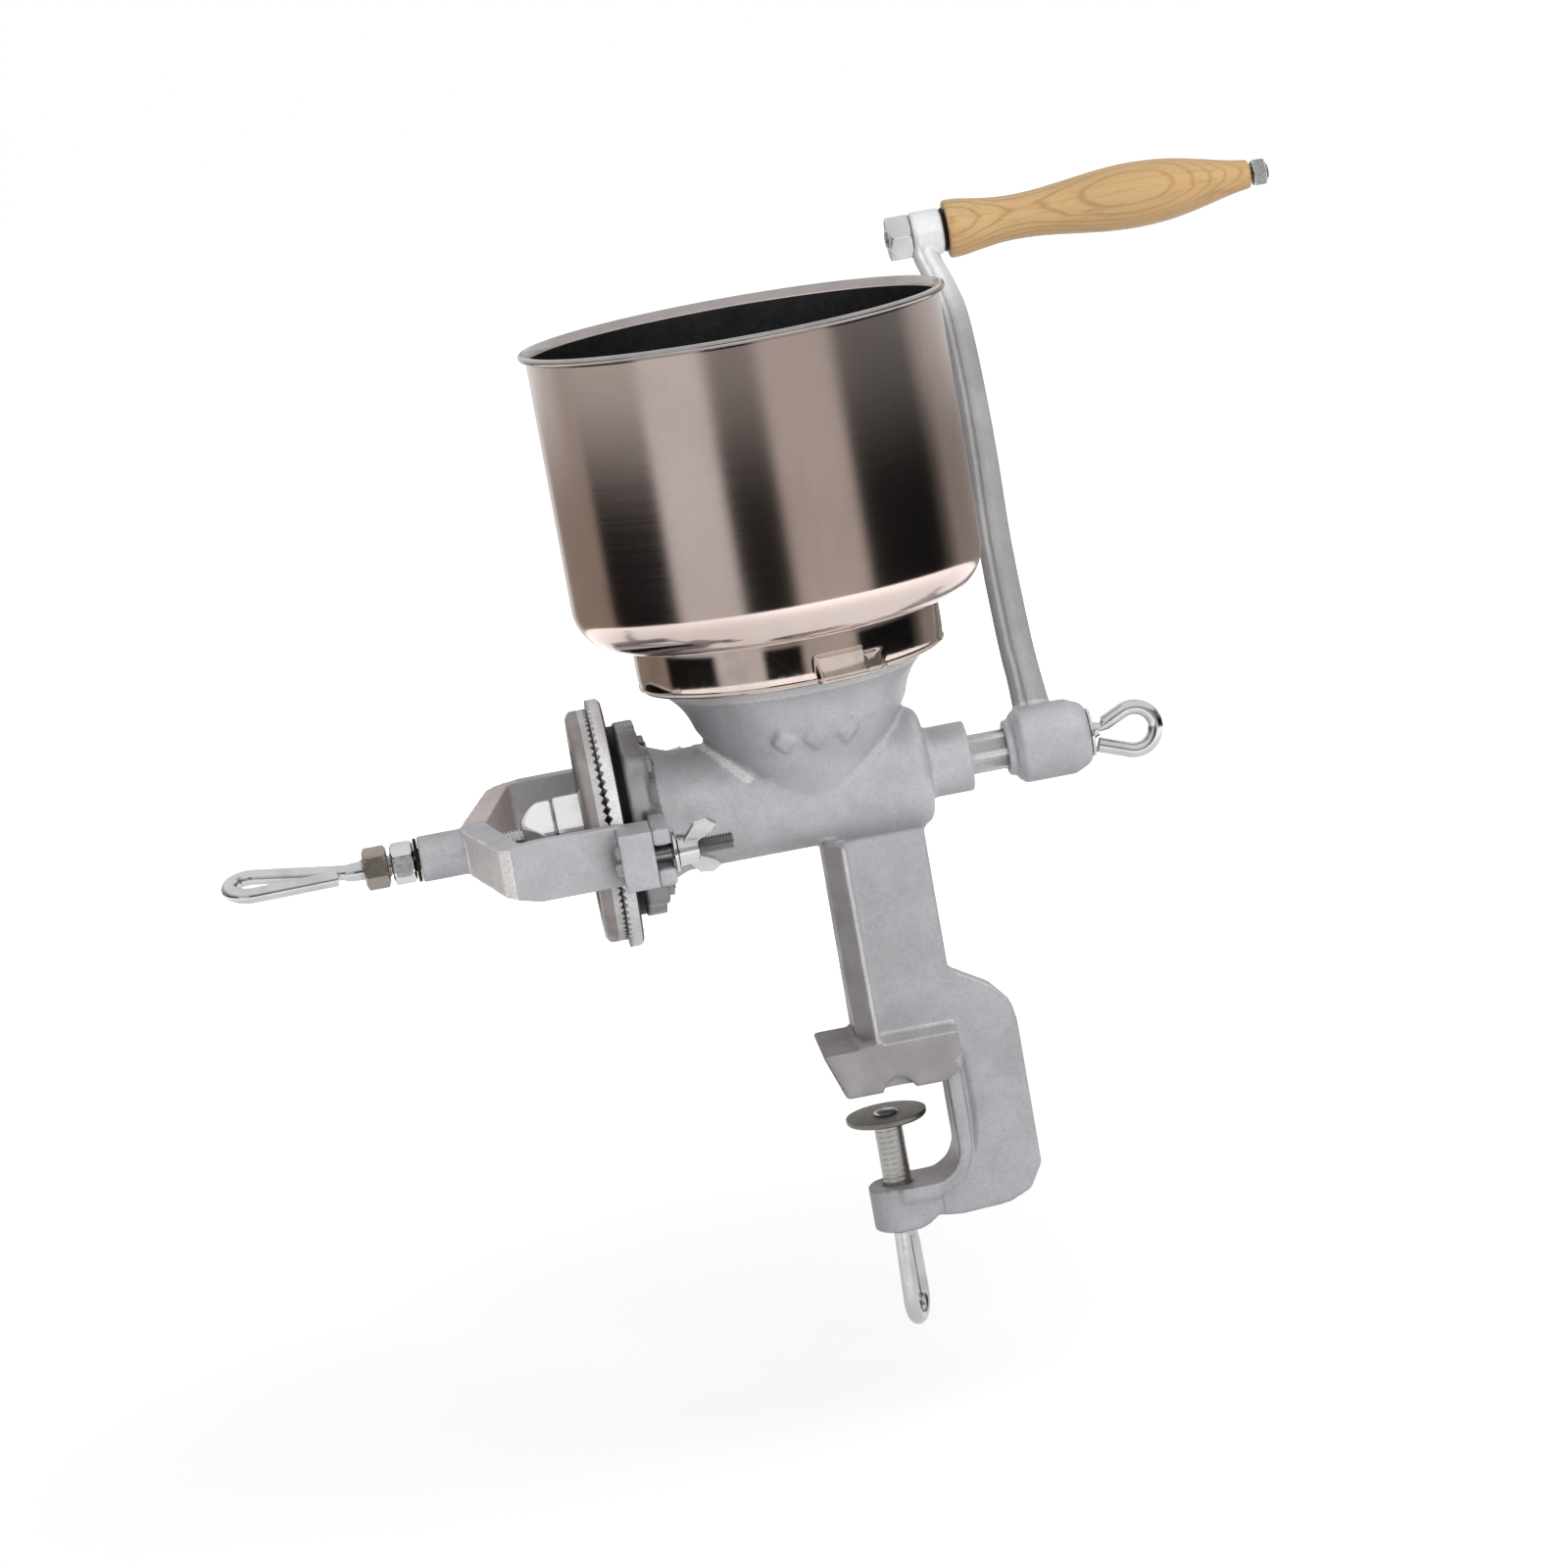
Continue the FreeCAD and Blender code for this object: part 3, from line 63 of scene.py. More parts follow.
# --- node trees ---------------------------------------------------------------------------
class Tree:
    """A node tree and short calls that lay and join its nodes."""

    def __init__(self, tree: bpy.types.NodeTree) -> None:
        """Empty the tree."""
        self.tree = tree
        self.tree.nodes.clear()

    def plug(self, value: object, socket: Socket) -> None:
        """Feed an input.

        Args:
            value: Number, colour or socket; None leaves the input alone.
            socket: The input.
        """
        if isinstance(value, Socket):
            self.tree.links.new(value, socket)
        elif isinstance(value, tuple) and socket.type == "RGBA":
            socket.default_value = (*value, 1.0)
        elif value is not None:
            socket.default_value = value

    def node(self, kind: str, *values: object, named: dict | None = None,
             **settings: object) -> bpy.types.Node:
        """Add a node.

        Args:
            kind: Node type.
            *values: Values for its enabled inputs in order.
            named: Values by the name or number of an input.
            **settings: Node properties.

        Returns:
            The node.
        """
        node = self.tree.nodes.new(kind)
        for key, value in settings.items():
            setattr(node, key, value)
        for socket, value in zip([socket for socket in node.inputs if socket.enabled], values):
            self.plug(value, socket)
        for key, value in (named or {}).items():
            self.plug(value, node.inputs[key])
        return node

    def math(self, operation: str, first: object, second: object = None) -> Socket:
        """Result of a math node."""
        return self.node("ShaderNodeMath", first, second, operation=operation).outputs[0]

    def hypot(self, first: Socket, second: Socket) -> Socket:
        """Length of two parts at right angles."""
        squares = [self.math("MULTIPLY", part, part) for part in (first, second)]
        return self.math("SQRT", self.math("ADD", *squares))

    def mix(self, factor: object, first: object, second: object) -> Socket:
        """Two colours mixed."""
        return self.node("ShaderNodeMix", named={0: factor, 6: first, 7: second}, data_type="RGBA").outputs[2]

    def split(self, vector: Socket) -> Sequence[Socket]:
        """A vector's three parts."""
        return self.node("ShaderNodeSeparateXYZ", vector).outputs

    def between(self, value: Socket, low: float, high: float, start: float | Socket = 0.3,
                end: float | Socket = 0.7) -> Socket:
        """A value mapped smoothly from start..end onto low..high."""
        return self.node("ShaderNodeMapRange", value, start, end, low, high,
                         interpolation_type="SMOOTHSTEP").outputs[0]

    def seen(self) -> Socket:
        """Whether a ray comes from the camera, from gloss or through glass.

        Returns:
            The socket, 1 for such rays and 0 for others.
        """
        path = self.node("ShaderNodeLightPath").outputs
        straight = self.math("MAXIMUM", path["Is Camera Ray"], path["Is Glossy Ray"])
        return self.math("MAXIMUM", straight, path["Is Transmission Ray"])


class Graph(Tree):
    """A material with a Principled shader, read on object coordinates."""

    def __init__(self, name: str) -> None:
        """Start the material.

        Args:
            name: Its name.
        """
        self.material = bpy.data.materials.new(name)
        self.material.use_nodes = True
        super().__init__(self.material.node_tree)
        self.shader = self.node("ShaderNodeBsdfPrincipled")
        self.surface = self.node("ShaderNodeOutputMaterial", self.shader.outputs["BSDF"]).inputs["Surface"]
        self.place = self.node("ShaderNodeTexCoord").outputs["Object"]

    def set(self, **values: object) -> None:
        """Feed the shader's own inputs, named in snake case."""
        for key, value in values.items():
            self.plug(value, self.shader.inputs[key.replace("_", " ").title().replace("Ior", "IOR")])

    def stretched(self, scale: float | Point, turn: Point = (0, 0, 0), shift: Point = (0, 0, 0)) -> Socket:
        """Object coordinates, stretched, turned and shifted.

        Args:
            scale: Pattern repeats per metre, alike or along each axis.
            turn: Euler angles in degrees.
            shift: Shift of the pattern.

        Returns:
            The vector socket.
        """
        scales = scale if isinstance(scale, tuple) else (scale,) * 3
        angles = [math.radians(a) for a in turn]
        return self.node("ShaderNodeMapping", self.place, shift, angles, scales).outputs[0]

    def noise(self, scale: float | Point, detail: float = 2.0, rough: float = 0.5, warp: float = 0.0,
              shift: Point = (0, 0, 0)) -> Socket:
        """Noise factor.

        Args:
            scale: Pattern repeats per metre, alike or along each axis.
            detail: Octaves.
            rough: Weight of the finer octaves.
            warp: Distortion.
            shift: Shift of the pattern.

        Returns:
            The factor socket.
        """
        place = self.stretched(scale, shift=shift)
        return self.node("ShaderNodeTexNoise", named={"Vector": place, "Scale": 1.0, "Detail": detail,
                                                      "Roughness": rough, "Distortion": warp}).outputs["Fac"]

    def ramp(self, factor: Socket, stops: Stops) -> Socket:
        """Colour ramp.

        Args:
            factor: Position on the ramp.
            stops: Positions with their colours.

        Returns:
            The colour socket.
        """
        node = self.node("ShaderNodeValToRGB", factor)
        elements = node.color_ramp.elements
        while len(elements) < len(stops):
            elements.new(0.5)
        for element, (position, colour) in zip(elements, stops):
            element.position = position
            element.color = (*colour, 1.0)
        return node.outputs["Color"]

    def around(self) -> Socket:
        """Direction round the object's upright axis, in the world."""
        cross = self.node("ShaderNodeVectorMath", (0.0, 0.0, 1.0), self.place, operation="CROSS_PRODUCT")
        return self.node("ShaderNodeVectorTransform", cross.outputs[0], vector_type="VECTOR",
                         convert_from="OBJECT", convert_to="WORLD").outputs[0]

    def bump(self, height: Socket, depth_mm: float, strength: float,
             over: Socket | None = None) -> Socket:
        """Normal of a relief, over an earlier one if given."""
        return self.node("ShaderNodeBump", named={"Height": height, "Distance": depth_mm * MM,
                                                  "Strength": strength, "Normal": over}).outputs["Normal"]


# --- finishes -----------------------------------------------------------------------------
@dataclass(frozen=True)
class CastTin:
    """Tin-plated iron casting: satin, sandy, a little darker where the plating is thin."""

    name: str = "cast_tin"
    light: Colour = srgb(184, 184, 188)
    dull: Colour = srgb(174, 173, 176)
    metal: float = 0.35
    roughness: float = 0.42
    relief_mm: float = 0.10
    # Painted shade: share of black mixed into the tone below the heights in shade_z, in metres.
    low_shade: float = 0.15
    shade_z: tuple[float, float] = (0.070, 0.105)
    speckle: float = 0.35
    speck: Colour = (0.30, 0.30, 0.31)
    grain: float = 1111.1111

    def make(self) -> Material:
        """Lay the nodes.

        Returns:
            The material.
        """
        g = Graph(self.name)
        grain = g.noise(self.grain, 3.0, 0.55)
        pits = g.noise(self.grain * 0.45, shift=(3, 1, 2))
        cloud = g.noise(55, 3.0, 0.6, 0.4)
        wave = g.noise(130, 1.0, shift=(1, 4, 2))
        tone = g.mix(g.between(cloud, 0.0, 1.0, 0.35, 0.68), self.light, self.dull)
        tone = g.mix(g.between(grain, 0.0, self.speckle, 0.42, 0.72), tone, self.speck)
        height = g.split(g.place)[2]
        # Painted shade: darker towards the bottom, mixed towards black below shade_z.
        tone = g.mix(g.between(height, self.low_shade, 0.0, *self.shade_z), tone, (0.0, 0.0, 0.0))
        relief = g.bump(pits, 2.2 * self.relief_mm, 0.6, g.bump(wave, 0.2, 0.5))
        g.set(base_color=tone, metallic=self.metal, specular_ior_level=0.06,
              roughness=g.between(cloud, self.roughness - 0.05, self.roughness + 0.09),
              normal=g.bump(grain, self.relief_mm, 0.8, relief))
        return g.material


@dataclass(frozen=True)
class SpunSteel:
    """Spun stainless sheet with fine rings round the axis and faint cloudy wipe marks."""

    name: str = "spun_steel"
    light: Colour = srgb(212, 196, 190)
    dull: Colour = srgb(198, 182, 175)
    roughness: float = 0.13

    def make(self) -> Material:
        """Lay the nodes.

        Returns:
            The material.
        """
        g = Graph(self.name)
        rings = g.noise((14, 14, 1900), 4.0, 0.65)
        wipes = g.noise((34, 34, 20), 3.0, 0.6, 0.6)
        tone = g.mix(g.between(wipes, 0.0, 0.6, 0.38, 0.68), self.light, self.dull)
        g.set(base_color=tone, metallic=1.0, anisotropic=0.7, tangent=g.around(),
              roughness=g.between(rings, self.roughness - 0.015, self.roughness + 0.015),
              normal=g.bump(rings, 0.006, 0.2))
        return g.material


@dataclass(frozen=True)
class Plated:
    """Bright plated or polished metal with faint scuffs."""

    name: str
    colour: Colour
    roughness: float = 0.12
    scuff: float = 0.10
    relief_mm: float = 0.02
    haze: float = 0.72

    def make(self) -> Material:
        """Lay the nodes.

        Returns:
            The material.
        """
        g = Graph(self.name)
        marks = g.noise(420, 4.0, 0.7)
        dark = tuple(self.haze * c for c in self.colour)
        g.set(base_color=g.mix(g.between(g.noise(90), 0.0, 0.6, 0.4, 0.75), self.colour, dark), metallic=1.0,
              roughness=g.between(marks, self.roughness, self.roughness + self.scuff),
              normal=g.bump(marks, self.relief_mm, 0.4))
        return g.material


@dataclass(frozen=True)
class GripWood:
    """Lacquered light hardwood turned along X, with long pores and darker growth lines."""

    name: str = "grip_wood"
    light: Colour = srgb(192, 161, 113)
    middle: Colour = srgb(180, 142, 92)
    dark: Colour = srgb(136, 96, 56)
    roughness: float = 0.42
    heart: Point = (-14.0, -10.73, -26.96)

    def make(self) -> Material:
        """Lay the nodes.

        Returns:
            The material.
        """
        g = Graph(self.name)
        slow = g.noise((9, 60, 60), warp=0.3, shift=(2, 0, 5))
        place = g.stretched((14, 100, 100), (0, 3, 7), self.heart)
        named = {"Vector": place, "Scale": 2.2, "Distortion": 3.8, "Detail": 2.0, "Detail Scale": 0.7}
        wave = g.node("ShaderNodeTexWave", wave_type="RINGS", rings_direction="X", named=named)
        pores = g.noise((70, 1500, 1500), 3.0, 0.6)
        streak = g.noise((16, 420, 420))
        stops = ((0.0, self.dark), (0.10, self.middle), (0.34, self.light), (1.0, self.light))
        tone = g.ramp(wave.outputs["Fac"], stops)
        tone = g.mix(0.35, tone, self.light)
        tone = g.mix(g.between(slow, 0.0, 0.55), tone, self.middle)
        tone = g.mix(g.between(streak, 0.0, 0.30, 0.5, 0.75), tone, self.dark)
        tone = g.mix(g.between(pores, 0.0, 0.40, 0.56, 0.72), tone, self.dark)
        g.set(base_color=tone, roughness=g.between(pores, self.roughness, self.roughness + 0.15),
              coat_weight=0.25, coat_roughness=0.22, normal=g.bump(pores, 0.05, 0.5))
        return g.material


class Finish(Enum):
    """Finishes of the grinder's pieces, by the record's material slot."""

    CAST_BODY = "cast_body"
    CAST_BURR = "cast_burr"
    BOWL = "bowl_steel"
    COLLAR = "collar_steel"
    SCREW = "bright_screw"
    THREAD = "steel_thread"
    NUT = "bright_nut"
    PAD = "pad_steel"
    RING = "ring_dark"
    GRIP = "grip_wood"


RECIPES = {
    Finish.CAST_BODY: CastTin("cast_body"),
    Finish.CAST_BURR: CastTin("cast_burr", srgb(204, 203, 203), srgb(188, 186, 186), 0.5, 0.36, 0.04),
    Finish.BOWL: SpunSteel("bowl_steel"),
    Finish.COLLAR: Plated("collar_steel", srgb(205, 190, 182), 0.07, 0.05, 0.01),
    Finish.SCREW: Plated("bright_screw", srgb(200, 201, 202), 0.09, 0.06),
    Finish.THREAD: Plated("steel_thread", srgb(146, 144, 143), 0.24, 0.12),
    Finish.NUT: Plated("bright_nut", srgb(208, 208, 208), 0.14, 0.08),
    Finish.PAD: Plated("pad_steel", srgb(128, 124, 117), 0.36, 0.12),
    Finish.RING: Plated("ring_dark", srgb(46, 38, 34), 0.45, 0.12),
    Finish.GRIP: GripWood(),
}


@cache
def material(finish: Finish) -> Material:
    """The finish's material, made once."""
    return RECIPES[finish].make()


# --- mesh building ------------------------------------------------------------------------
@dataclass(frozen=True)
class Line:
    """An axis that things are turned round: a point and a direction."""

    point: Point = (0.0, 0.0, SHAFT_Z)
    along: Point = (1.0, 0.0, 0.0)

    def matrix(self) -> Matrix:
        """Placement that takes +Z onto the axis and the origin onto its point."""
        turn = Vector((0, 0, 1)).rotation_difference(Vector(self.along)).to_matrix().to_4x4()
        return Matrix.Translation(Vector(self.point)) @ turn


SHAFT = Line()
UPRIGHT = Line((0.0, 0.0, 0.0), (0.0, 0.0, 1.0))


def beside_shaft(radius: float, degrees: float) -> Line:
    """Axis along X at a radius and an angle round the shaft."""
    angle = math.radians(degrees)
    return Line((0.0, radius * math.cos(angle), SHAFT_Z + radius * math.sin(angle)))


def object_of(name: str, mesh: Mesh) -> Piece:
    """New object, linked to the scene, that shows a mesh.

    Args:
        name: Name of object and mesh.
        mesh: Its mesh.

    Returns:
        The object.
    """
    mesh.name = name
    piece = bpy.data.objects.new(name, mesh)
    bpy.context.scene.collection.objects.link(piece)
    return piece


def from_faces(name: str, points: Sequence[Vector], faces: Sequence[Sequence[int]]) -> Piece:
    """Closed piece with its faces outwards.

    Args:
        name: Piece name.
        points: Corners in millimetres.
        faces: Corner numbers of each face.

    Returns:
        The piece.
    """
    mesh = bpy.data.meshes.new(name)
    mesh.from_pydata([Vector(p) * MM for p in points], [], faces)
    outward(mesh)
    return object_of(name, mesh)


def outward(mesh: Mesh, merge: float = 1e-7, turn: bool = True) -> None:
    """Merge doubles and turn the faces outwards.

    Args:
        mesh: Mesh to clean.
        merge: Merge distance in metres.
        turn: Whether the faces are turned.
    """
    work = bmesh.new()
    work.from_mesh(mesh)
    bmesh.ops.remove_doubles(work, verts=work.verts, dist=merge)
    if turn:
        bmesh.ops.recalc_face_normals(work, faces=work.faces)
    work.to_mesh(mesh)
    work.free()


def lathe(name: str, outline: Outline, line: Line = SHAFT, steps: int = 128,
          reach: Callable[[float, float, float], float] | None = None) -> Piece:
    """Closed outline turned round an axis.

    Args:
        name: Piece name.
        outline: (along, radius) pairs in order round the section.
        line: Axis.
        steps: Facets round the axis.
        reach: Changes a radius, from (along, radius, angle).

    Returns:
        The piece.
    """
    frame = line.matrix()
    points: list[Vector] = []
    rows: list[list[int]] = []
    for along, radius in outline:
        row = []
        for i in range(steps):
            angle = TAU * i / steps
            if radius < 1e-6 and i:
                row.append(row[0])
                continue
            r = reach(along, radius, angle) if reach else radius
            points.append(frame @ Vector((r * math.cos(angle), r * math.sin(angle), along)))
            row.append(len(points) - 1)
        rows.append(row)
    faces = []
    for first, second in zip(rows, rows[1:] + rows[:1]):
        for i in range(steps):
            j = (i + 1) % steps
            unique = list(dict.fromkeys([first[i], first[j], second[j], second[i]]))
            if len(unique) > 2:
                faces.append(unique)
    return from_faces(name, points, faces)


def eased(outline: Outline, radius: float) -> list[tuple[float, float]]:
    """Closed outline with every corner off its axis rounded.

    Args:
        outline: Corners in order.
        radius: Rounding radius, less on short sides.

    Returns:
        The rounded outline.
    """
    cuts = 3
    nearly_flat = math.radians(172)
    result: list[tuple[float, float]] = []
    for i, corner in enumerate(outline):
        here = Vector(corner)
        before = Vector(outline[i - 1]) - here
        after = Vector(outline[(i + 1) % len(outline)]) - here
        on_axis = corner[1] < 1e-6 or before.length < 1e-6 or after.length < 1e-6
        if on_axis or before.angle(after) > nearly_flat:
            result.append(corner)
            continue
        room = 0.45 * min(before.length, after.length)
        back = min(radius / math.tan(before.angle(after) / 2), room)
        start = here + before.normalized() * back
        end = here + after.normalized() * back
        for k in range(cuts + 1):
            t = k / cuts
            p = start * (1 - t) ** 2 + here * 2 * t * (1 - t) + end * t ** 2
            result.append((p.x, p.y))
    return result


def loft(name: str, sections: Sequence[Sequence[Vector]]) -> Piece:
    """Skin over closed sections, capped at both ends.

    Args:
        name: Piece name.
        sections: Rings of points in millimetres, as many in each.

    Returns:
        The piece.
    """
    count = len(sections[0])
    points = [p for ring in sections for p in ring]
    faces = [list(range(count)), list(range(len(points) - count, len(points)))]
    for k in range(0, len(points) - count, count):
        for i in range(count):
            j = (i + 1) % count
            faces.append([k + i, k + j, k + count + j, k + count + i])
    return from_faces(name, points, faces)


def joined(name: str, pieces: Sequence[Piece]) -> Piece:
    """Several pieces' meshes in one.

    Args:
        name: Name of the result.
        pieces: The pieces, removed afterwards.

    Returns:
        The new piece, without materials.
    """
    work = bmesh.new()
    for piece in pieces:
        work.from_mesh(piece.data)
        bpy.data.objects.remove(piece)
    mesh = bpy.data.meshes.new(name)
    work.to_mesh(mesh)
    work.free()
    return object_of(name, mesh)


def copy_of(node: str, name: str) -> Piece:
    """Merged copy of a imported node's mesh.

    Args:
        node: Node to copy.
        name: Name of the copy.

    Returns:
        The copy, without materials.
    """
    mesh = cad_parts[node].data.copy()
    mesh.materials.clear()
    outward(mesh, 2e-6, turn=False)
    return object_of(name, mesh)


def baked(piece: Piece) -> Piece:
    """Apply the modifiers of a piece.

    Args:
        piece: Piece with modifiers, removed afterwards.

    Returns:
        A plain mesh piece of the same name.
    """
    graph = bpy.context.evaluated_depsgraph_get()
    graph.update()
    mesh = bpy.data.meshes.new_from_object(piece.evaluated_get(graph), depsgraph=graph)
    name = piece.name
    bpy.data.objects.remove(piece)
    return object_of(name, mesh)


def cast(piece: Piece, voxel: float, rounds: int) -> Piece:
    """Run overlapping solids together and soften their edges and corners.

    Args:
        piece: Closed solids.
        voxel: Cell size in millimetres.
        rounds: Smoothing passes.

    Returns:
        The finished piece.
    """
    remesh = piece.modifiers.new("cells", "REMESH")
    remesh.mode = "VOXEL"
    remesh.voxel_size = voxel * MM
    smooth = piece.modifiers.new("soften", "SMOOTH")
    smooth.factor = 0.5
    smooth.iterations = rounds
    return baked(piece)


def hexagon(name: str, flats: float, bore: float, start: float, end: float, line: Line,
            turn: float = 0.0) -> Piece:
    """Hexagonal nut with both ends chamfered, on an axis.

    Args:
        name: Piece name.
        flats: Width across flats.
        bore: Bore radius.
        start: Left end along the axis.
        end: Right end along the axis.
        line: Axis.
        turn: Turn of the flats in degrees.

    Returns:
        The piece.
    """
    corner = flats / math.sqrt(3)
    drop = 0.12 * flats

    def reach(along: float, radius: float, angle: float) -> float:
        """Flat or chamfer cone, whichever is nearer the axis.

        Args:
            along: Place along the axis.
            radius: Radius in the outline.
            angle: Angle round the axis.

        Returns:
            The radius there.
        """
        if radius < corner - 2 * drop:
            return radius
        sector = (angle + math.radians(turn)) % (TAU / 6) - TAU / 12
        depth = max(min(along - start, end - along), 0.0)
        return min(flats / 2 / math.cos(sector), corner - drop + depth * 1.8)

    shares = (0, 0.02, 0.06, 0.1, 0.15, 0.2, 0.28, 0.5, 0.72, 0.8, 0.85, 0.9, 0.94, 0.98, 1)
    bored = [(end, bore + 0.7), (end - 0.6, bore), (start + 0.6, bore), (start, bore + 0.7)]
    return lathe(name, [(start + (end - start) * t, corner) for t in shares] + bored, line, 144, reach)


def disc(name: str, start: float, end: float, outer: float, bore: float, line: Line = SHAFT,
         easing: float = 0.3) -> Piece:
    """Washer or ring with rounded edges, from start to end along an axis."""
    return lathe(name, eased([(start, bore), (start, outer), (end, outer), (end, bore)], easing), line, 96)


# --- geometry nodes -----------------------------------------------------------------------
class Recipe(Tree):
    """A Geometry Nodes tree with named inputs."""

    def __init__(self, name: str) -> None:
        """Start a tree that takes and gives geometry.

        Args:
            name: Its name.
        """
        super().__init__(bpy.data.node_groups.new(name, "GeometryNodeTree"))
        for way in ("OUTPUT", "INPUT"):
            self.tree.interface.new_socket(name="Geometry", in_out=way, socket_type="NodeSocketGeometry")
        self.entry = self.node("NodeGroupInput")

    def sizes(self, *names: str, kind: str = "NodeSocketFloat") -> list[Socket]:
        """Add named inputs.

        Args:
            *names: Input names.
            kind: Their socket type.

        Returns:
            The sockets that carry them.
        """
        for name in names:
            self.tree.interface.new_socket(name=name, in_out="INPUT", socket_type=kind)
        return [self.entry.outputs[name] for name in names]

    def turn_share(self, up: Socket, across: Socket) -> Socket:
        """Angle of a point as a share of a turn."""
        return self.math("DIVIDE", self.math("ARCTAN2", up, across), TAU)

    def zigzag(self, value: Socket) -> Socket:
        """1 at whole numbers and 0 half way between."""
        away = self.math("ABSOLUTE", self.math("SUBTRACT", self.math("FRACT", value), 0.5))
        return self.math("MULTIPLY", away, 2.0)

    def close(self, geometry: Socket) -> "Recipe":
        """Realize the instances, set the finish and end the tree.

        Args:
            geometry: What the tree has made.

        Returns:
            The recipe itself.
        """
        finish, = self.sizes("Finish", kind="NodeSocketMaterial")
        smooth = self.node("GeometryNodeSetShadeSmooth", geometry)
        real = self.node("GeometryNodeRealizeInstances", smooth.outputs[0])
        dressed = self.node("GeometryNodeSetMaterial", real.outputs[0], None, finish)
        leave = self.node("NodeGroupOutput")
        self.plug(dressed.outputs[0], leave.inputs[0])
        return self

    def grow(self, name: str, finish: Finish, base: Piece | None = None, place: Matrix | None = None,
             **sizes: float) -> Piece:
        """Run the tree and keep its result as a plain mesh.

        Args:
            name: Piece name.
            finish: Finish of the result.
            base: Object whose geometry goes in, replaced by the result.
            place: Placement in millimetres, for a result made at the origin.
            **sizes: Input values; snake case for the inputs' names.

        Returns:
            The piece.
        """
        if base is None:
            base = object_of(name, bpy.data.meshes.new(name))
        modifier = base.modifiers.new("recipe", "NODES")
        modifier.node_group = self.tree
        values: dict[str, object] = {key.replace("_", " ").title(): value for key, value in sizes.items()}
        values["Finish"] = material(finish)
        for item in self.tree.interface.items_tree:
            if item.in_out == "INPUT" and item.name in values:
                modifier[item.identifier] = values[item.name]
        base.name = name
        result = baked(base)
        if place is not None:
            where = place.copy()
            where.translation = where.translation * MM
            result.data.transform(where)
        outward(result.data)
        return result


@cache
def ridged_bar() -> Recipe:
    """Round bar along +Z with ridges that run straight or wind round it, as flutes or a thread.

    Returns:
        The recipe.
    """
    recipe = Recipe("ridged_bar")
    calc = recipe.math
    length, radius, depth, ridges, turns, taper = recipe.sizes(
        "Length", "Radius", "Depth", "Ridges", "Turns Per Metre", "Taper")
    facets, rings = recipe.sizes("Facets", "Rings", kind="NodeSocketInt")
    bar = recipe.node("GeometryNodeMeshCylinder", facets, rings, None, radius, length)
    x, y, z = recipe.split(recipe.node("GeometryNodeInputPosition").outputs[0])
    wound = calc("SUBTRACT", calc("MULTIPLY", recipe.turn_share(y, x), ridges), calc("MULTIPLY", z, turns))
    cut = calc("MULTIPLY", recipe.between(recipe.zigzag(wound), 0.0, 1.0, 0.15, 0.85), depth)
    half = calc("DIVIDE", length, 2.0)
    end_room = calc("SUBTRACT", half, calc("ABSOLUTE", z))
    narrow = calc("MAXIMUM", cut, calc("MAXIMUM", calc("SUBTRACT", taper, end_room), 0.0))
    share = calc("SUBTRACT", 1.0, calc("DIVIDE", narrow, radius))
    moved = recipe.node("ShaderNodeCombineXYZ", calc("MULTIPLY", x, share), calc("MULTIPLY", y, share),
                        calc("ADD", z, half))
    shaped = recipe.node("GeometryNodeSetPosition", bar.outputs[0], None, moved.outputs[0])
    return recipe.close(shaped.outputs[0])


@cache
def bent_wire() -> Recipe:
    """Round wire along the path that goes in.

    Returns:
        The recipe.
    """
    recipe = Recipe("bent_wire")
    radius, = recipe.sizes("Radius")
    circle = recipe.node("GeometryNodeCurvePrimitiveCircle", named={"Resolution": 28, "Radius": radius})
    tube = recipe.node("GeometryNodeCurveToMesh", named={
        "Curve": recipe.entry.outputs["Geometry"], "Profile Curve": circle.outputs[0], "Fill Caps": True})
    return recipe.close(tube.outputs[0])


@cache
def toothed_face() -> Recipe:
    """Disc on the shaft whose flat face gets radial V grooves that open at its rim.

    Returns:
        The recipe.
    """
    recipe = Recipe("toothed_face")
    calc = recipe.math
    near_face = 0.0002
    face, inner, outer, depth, count = recipe.sizes("Face", "Inner", "Outer", "Depth", "Count")
    x, y, z = recipe.split(recipe.node("GeometryNodeInputPosition").outputs[0])
    height = calc("SUBTRACT", z, SHAFT_Z * MM)
    slope = recipe.zigzag(calc("MULTIPLY", recipe.turn_share(height, y), count))
    fade = recipe.between(recipe.hypot(y, height), 0.0, 1.0, inner, outer)
    near = calc("LESS_THAN", calc("ABSOLUTE", calc("SUBTRACT", x, face)), near_face)
    shift = calc("MULTIPLY", calc("MULTIPLY", slope, depth), calc("MULTIPLY", fade, near))
    offset = recipe.node("ShaderNodeCombineXYZ", shift, 0.0, 0.0)
    blank = recipe.entry.outputs["Geometry"]
    cut = recipe.node("GeometryNodeSetPosition", blank, None, None, offset.outputs[0])
    return recipe.close(cut.outputs[0])


def thread(name: str, finish: Finish, line: Line, length: float, radius: float, pitch: float,
           depth: float | None = None) -> Piece:
    """Threaded bar that starts at a line's point.

    Args:
        name: Piece name.
        finish: Finish.
        line: Start and direction.
        length: Length.
        radius: Crest radius.
        pitch: Pitch.
        depth: Thread depth, from the pitch if left out.

    Returns:
        The piece.
    """
    return ridged_bar().grow(
        name, finish, place=line.matrix(), length=length * MM, radius=radius * MM,
        depth=(0.55 * pitch if depth is None else depth) * MM, ridges=1.0, turns_per_metre=1000 / pitch,
        facets=40, rings=max(4, round(length / pitch * 8)), taper=0.5 * MM)


